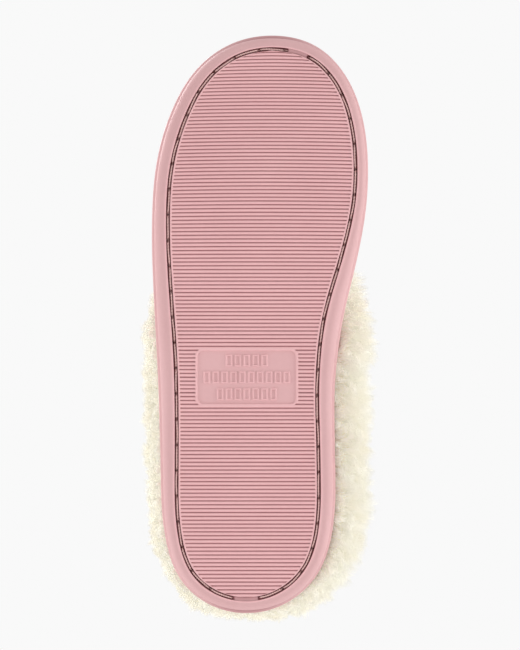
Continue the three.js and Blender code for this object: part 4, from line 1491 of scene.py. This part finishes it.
class SLIPPER_OT_stage(bpy.types.Operator):
    """Puts up the floor, the backdrop, the lights and the camera under the sole"""

    bl_idname = "slipper.stage"
    bl_label = "Stage, lights and camera"

    def execute(self, context):
        scene = context.scene
        stage = scene.slipper_stage
        scene.view_settings.view_transform = "Standard"
        self.world(scene, stage)
        self.floor(stage)
        self.lights()
        self.camera(scene, stage)
        return {"FINISHED"}

    @staticmethod
    def world(scene, stage):
        """The camera sees plain paper; the slipper is lit by a softer, even light."""
        world = bpy.data.worlds.new("studio")
        scene.world = world
        world.use_nodes = True
        tree = world.node_tree
        seen = tree.nodes["Background"]
        seen.inputs["Color"].default_value = (*stage.paper, 1)
        lit = tree.nodes.new("ShaderNodeBackground")
        lit.inputs["Color"].default_value = (1, 1, 1, 1)
        place = tree.nodes.new("ShaderNodeTexCoord")
        split = tree.nodes.new("ShaderNodeSeparateXYZ")
        below = add_node(tree, "ShaderNodeMapRange", From_Min=-1.0, From_Max=0.0,
                         To_Min=BELOW_LIGHT[0], To_Max=BELOW_LIGHT[1])
        above = add_node(tree, "ShaderNodeMapRange", From_Min=0.1, From_Max=0.9,
                         To_Min=OVERHEAD_DIM[0], To_Max=OVERHEAD_DIM[1])
        strength = tree.nodes.new("ShaderNodeMath")
        strength.operation = "SUBTRACT"
        tree.links.new(place.outputs["Generated"], split.inputs[0])
        for span in (below, above):
            tree.links.new(split.outputs["Z"], span.inputs["Value"])
        tree.links.new(below.outputs["Result"], strength.inputs[0])
        tree.links.new(above.outputs["Result"], strength.inputs[1])
        tree.links.new(strength.outputs[0], lit.inputs["Strength"])
        rays = tree.nodes.new("ShaderNodeLightPath")
        mix = tree.nodes.new("ShaderNodeMixShader")
        tree.links.new(rays.outputs["Is Camera Ray"], mix.inputs[0])
        tree.links.new(lit.outputs[0], mix.inputs[1])
        tree.links.new(seen.outputs[0], mix.inputs[2])
        tree.links.new(mix.outputs[0], tree.nodes["World Output"].inputs["Surface"])

    @staticmethod
    def floor(stage):
        """A pale floor that can't be seen from below and doesn't shade what is under the slipper."""
        corners = np.array([[-1, -1, 0], [1, -1, 0], [1, 1, 0], [-1, 1, 0]]) * FLOOR_HALF
        corners[:, 2] = -FLOOR_DROP
        floor = build_mesh("floor", corners, [np.array([[0, 1, 2, 3]])], smooth=False)
        made, tree, shader = material("floor_paper", 0.8, Specular_IOR_Level=0.2)
        mottle = put_mottle(tree, stage.floor, [0.97 * value for value in stage.floor], 3, 60, 0.3)
        tree.links.new(mottle.outputs["Colour"], shader.inputs["Base Color"])
        near = tree.nodes.new("ShaderNodeTexCoord")
        reach = tree.nodes.new("ShaderNodeVectorMath")
        reach.operation = "LENGTH"
        fade = add_node(tree, "ShaderNodeMapRange", From_Min=FLOOR_FADE[0], From_Max=FLOOR_FADE[1])
        fade.interpolation_type = "SMOOTHSTEP"
        paper = tree.nodes.new("ShaderNodeEmission")
        paper.inputs["Color"].default_value = (*stage.paper, 1)
        blend = tree.nodes.new("ShaderNodeMixShader")
        tree.links.new(near.outputs["Object"], reach.inputs[0])
        tree.links.new(reach.outputs["Value"], fade.inputs["Value"])
        tree.links.new(fade.outputs["Result"], blend.inputs[0])
        tree.links.new(shader.outputs[0], blend.inputs[1])
        tree.links.new(paper.outputs[0], blend.inputs[2])
        clear = tree.nodes.new("ShaderNodeBsdfTransparent")
        side = tree.nodes.new("ShaderNodeNewGeometry")
        mix = tree.nodes.new("ShaderNodeMixShader")
        tree.links.new(side.outputs["Backfacing"], mix.inputs[0])
        tree.links.new(blend.outputs[0], mix.inputs[1])
        tree.links.new(clear.outputs[0], mix.inputs[2])
        tree.links.new(mix.outputs[0], tree.nodes["Material Output"].inputs["Surface"])
        floor.data.materials.append(made)
        floor.visible_shadow = False
        floor.visible_diffuse = False
        floor.visible_glossy = False
        floor.visible_transmission = False

    @staticmethod
    def lights():
        for name, place, size, power in LAMPS:
            data = bpy.data.lights.new(name, "AREA")
            data.size = size
            data.energy = power
            lamp = bpy.data.objects.new(name, data)
            lamp.location = place
            aim = Vector((*OUTLINE.middle, AIM_HEIGHT)) - Vector(place)
            lamp.rotation_euler = aim.to_track_quat("-Z", "Y").to_euler()
            bpy.context.scene.collection.objects.link(lamp)

    @staticmethod
    def camera(scene, stage):
        data = bpy.data.cameras.new("camera")
        data.sensor_fit = "HORIZONTAL"
        data.sensor_width = 36
        data.lens = data.sensor_width * stage.distance / stage.span
        data.clip_start = 0.05
        camera = bpy.data.objects.new("camera", data)
        x, y = OUTLINE.middle
        camera.location = (x, y + VIEW_SHIFT, SOLE_PLANE - stage.distance)
        camera.rotation_euler = (math.pi, 0, 0)
        scene.collection.objects.link(camera)
        scene.camera = camera


class SLIPPER_OT_outsole(bpy.types.Operator):
    """Moulds the cup sole with its ribs, sewing channel, rim and size panel"""

    bl_idname = "slipper.outsole"
    bl_label = "Outsole"

    def execute(self, context):
        sole = context.scene.slipper_sole
        rubber = rubber_material(sole)
        tread, cup = outsole_meshes(sole)
        finish_piece(cup, rubber, "sole_rubber", "outsole")
        finish_piece(tread, rubber, "sole_rubber")
        return {"FINISHED"}


class SLIPPER_OT_stitching(bpy.types.Operator):
    """Sews the twisted thread round the channel"""

    bl_idname = "slipper.stitching"
    bl_label = "Sole stitching"

    def execute(self, context):
        sole = context.scene.slipper_sole
        thread = stitching_mesh(sole)
        made = thread_material("stitching_thread", sole.thread_colour)
        finish_piece(thread, made, "stitching_thread", "sole_stitching")
        return {"FINISHED"}


class SLIPPER_OT_vamp(bpy.types.Operator):
    """Makes the velour vamp and its plush lining"""

    bl_idname = "slipper.vamp"
    bl_label = "Vamp and lining"

    def execute(self, context):
        scene = context.scene
        size = scene.slipper_upper
        upper = Upper(scene)
        velour = pile_material("velour", size.velour, size.velour_dark, 35, 1900, 600, 0.0003)
        outer = vamp_sheet("vamp_velour", upper, 0.0, size.outer, 0.35 * MM)
        finish_piece(outer, velour, "velour", "vamp_outer")
        plush = plush_material(size)
        lining = vamp_sheet("vamp_plush", upper, size.lining_depth, size.lining, 0.0)
        finish_piece(lining, plush, "plush_lining", "vamp_lining")
        return {"FINISHED"}


def plush_material(size):
    """The plush of the linings and the footbed, made once."""
    name = "plush_lining"
    made = bpy.data.materials.get(name)
    return made or pile_material(name, size.plush, size.plush_dark, 120, 1300, 420, 0.0009)


class SLIPPER_OT_quarters(bpy.types.Operator):
    """Makes the two velour quarters under the cuff and the plush lining behind them"""

    bl_idname = "slipper.quarters"
    bl_label = "Quarters and lining"

    def execute(self, context):
        scene = context.scene
        size = scene.slipper_upper
        upper = Upper(scene)
        gap = 2 * SEAM_GAP / OUTLINE.perimeter
        rise = np.linspace(0, 1, QUARTER_COLUMNS)
        front = Upper.corner_rows(SEAM_ROW, 1, QUARTER_FRONT_ROWS)
        front[0] += 2 * gap
        back = np.linspace(THROAT + CORNER, 0.5 - gap, QUARTER_BACK_ROWS)
        rows = np.concatenate([front, back[1:]])
        velour = bpy.data.materials["velour"]
        thread = thread_material("topstitch_thread", size.topstitch)
        for side, (name, shares) in enumerate((("quarter_medial", rows), ("quarter_lateral", 1 - rows))):
            piece = quarter_sheet(name + "_velour", upper, shares, rise, 0.0, size.outer)
            finish_piece(piece, velour, "velour", name)
            row = topstitch_mesh(name + "_topstitch", upper, side)
            finish_piece(row, thread, "stitching_thread")
        whole = np.concatenate([rows[:-1], [0.5], 1 - rows[:-1][::-1]])
        lining = quarter_sheet("heel_plush", upper, whole, rise, size.lining_depth, size.lining, 0.25 * MM)
        finish_piece(lining, plush_material(size), "plush_lining", "quarter_lining")
        return {"FINISHED"}


class SLIPPER_OT_footbed(bpy.types.Operator):
    """Makes the soft plush cover of the footbed"""

    bl_idname = "slipper.footbed"
    bl_label = "Footbed cover"

    def execute(self, context):
        upper = Upper(context.scene)
        cover = footbed_mesh(upper)
        finish_piece(cover, plush_material(upper.size), "plush_lining", "sock_lining")
        return {"FINISHED"}


class SLIPPER_OT_inner_layers(bpy.types.Operator):
    """Gives the hidden board, foams and stiffener their materials"""

    bl_idname = "slipper.inner_layers"
    bl_label = "Board, foams and stiffener"

    def execute(self, context):
        foam = board_material("foam", (0.85, 0.82, 0.74), (0.74, 0.7, 0.6))
        board = board_material("insole_board", (0.5, 0.36, 0.22), (0.4, 0.27, 0.16))
        stiff = board_material("heel_stiffener", (0.48, 0.36, 0.23), (0.4, 0.29, 0.18))
        for node, made in (("foam_midsole", foam), ("memory_foam_insole", foam), ("vamp_padding", foam),
                           ("collar_foam", foam), ("insole_board", board), ("heel_counter", stiff)):
            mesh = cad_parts[node].data
            mesh.materials.clear()
            mesh.materials.append(made)
        return {"FINISHED"}


class SLIPPER_OT_fur_cuff(bpy.types.Operator):
    """Rolls the cuff's backing round the opening and plants its long pile in locks"""

    bl_idname = "slipper.fur_cuff"
    bl_label = "Fur cuff"

    def execute(self, context):
        scene = context.scene
        fur = scene.slipper_fur
        upper = Upper(scene)
        rng = np.random.default_rng(SEED)
        pile = fur_material("faux_fur", fur)
        skin = pile_material("fur_backing", fur.warm, fur.dark, 90, 1100, 300, 0.0012)
        strands = fur.strands // 2
        for side, word in ((0, "medial"), (1, "lateral")):
            cuff = Cuff(upper, fur.backing, side)
            body = cuff.body("cuff_backing_" + word)
            finish_piece(body, skin, "faux_fur", "fur_cuff_" + word)
            guide_root, guide_normal, guide_level = strand_roots(cuff, fur.locks // 2, rng)
            guides = comb(guide_root, guide_normal, guide_level, fur, rng, LOCK_LOOSENESS)
            root, normal, level = strand_roots(cuff, strands, rng)
            curves = comb(root - normal * ROOT_DEPTH, normal, level, fur, rng, STRAND_LOOSENESS)
            curves, nearest = gather(curves, guides, guide_root, root, rng)
            curves[..., 2] = np.maximum(curves[..., 2], FUR_CLEARANCE)
            warmth = np.clip(rng.normal(0.15, 0.25, len(guides)), 0, 0.8)[nearest]
            width = fur.width * (0.7 + 0.6 * rng.random(strands))
            bright = 0.75 + 0.25 * rng.random(strands)
            parts = math.ceil(strands / STRANDS_PER_PIECE)
            order = np.argsort(root[:, 1])
            for part, pick in enumerate(np.array_split(order, parts)):
                name = f"fur_pile_{word}_{part + 1}"
                piece = strand_mesh(name, curves[pick], bright[pick], warmth[pick], width[pick])
                finish_piece(piece, pile, "faux_fur")
        return {"FINISHED"}


class SLIPPER_PT_panel(bpy.types.Panel):
    """Lists the slipper's pieces in the sidebar"""

    bl_label = "House slipper"
    bl_idname = "SLIPPER_PT_panel"
    bl_space_type = "VIEW_3D"
    bl_region_type = "UI"
    bl_category = "Slipper"

    def draw(self, context):
        for step in STEPS:
            self.layout.operator(step.bl_idname)
        for name in SETTINGS:
            group = getattr(context.scene, name)
            box = self.layout.box()
            for key in group.__annotations__:
                box.prop(group, key)


STEPS = (SLIPPER_OT_stage, SLIPPER_OT_outsole, SLIPPER_OT_stitching, SLIPPER_OT_vamp, SLIPPER_OT_quarters,
         SLIPPER_OT_footbed, SLIPPER_OT_inner_layers, SLIPPER_OT_fur_cuff)
SETTINGS = {"slipper_sole": SlipperSole, "slipper_upper": SlipperUpper, "slipper_fur": SlipperFur,
            "slipper_stage": SlipperStage}


def register():
    for group in SETTINGS.values():
        bpy.utils.register_class(group)
    for name, group in SETTINGS.items():
        setattr(bpy.types.Scene, name, PointerProperty(type=group))
    for step in STEPS:
        bpy.utils.register_class(step)
    bpy.utils.register_class(SLIPPER_PT_panel)


def unregister():
    bpy.utils.unregister_class(SLIPPER_PT_panel)
    for step in reversed(STEPS):
        bpy.utils.unregister_class(step)
    for name, group in SETTINGS.items():
        delattr(bpy.types.Scene, name)
        bpy.utils.unregister_class(group)


def main():
    register()
    bpy.ops.slipper.stage()
    bpy.ops.slipper.outsole()
    bpy.ops.slipper.stitching()
    bpy.ops.slipper.vamp()
    bpy.ops.slipper.quarters()
    bpy.ops.slipper.footbed()
    bpy.ops.slipper.inner_layers()
    bpy.ops.slipper.fur_cuff()


if __name__ == "__main__":
    main()
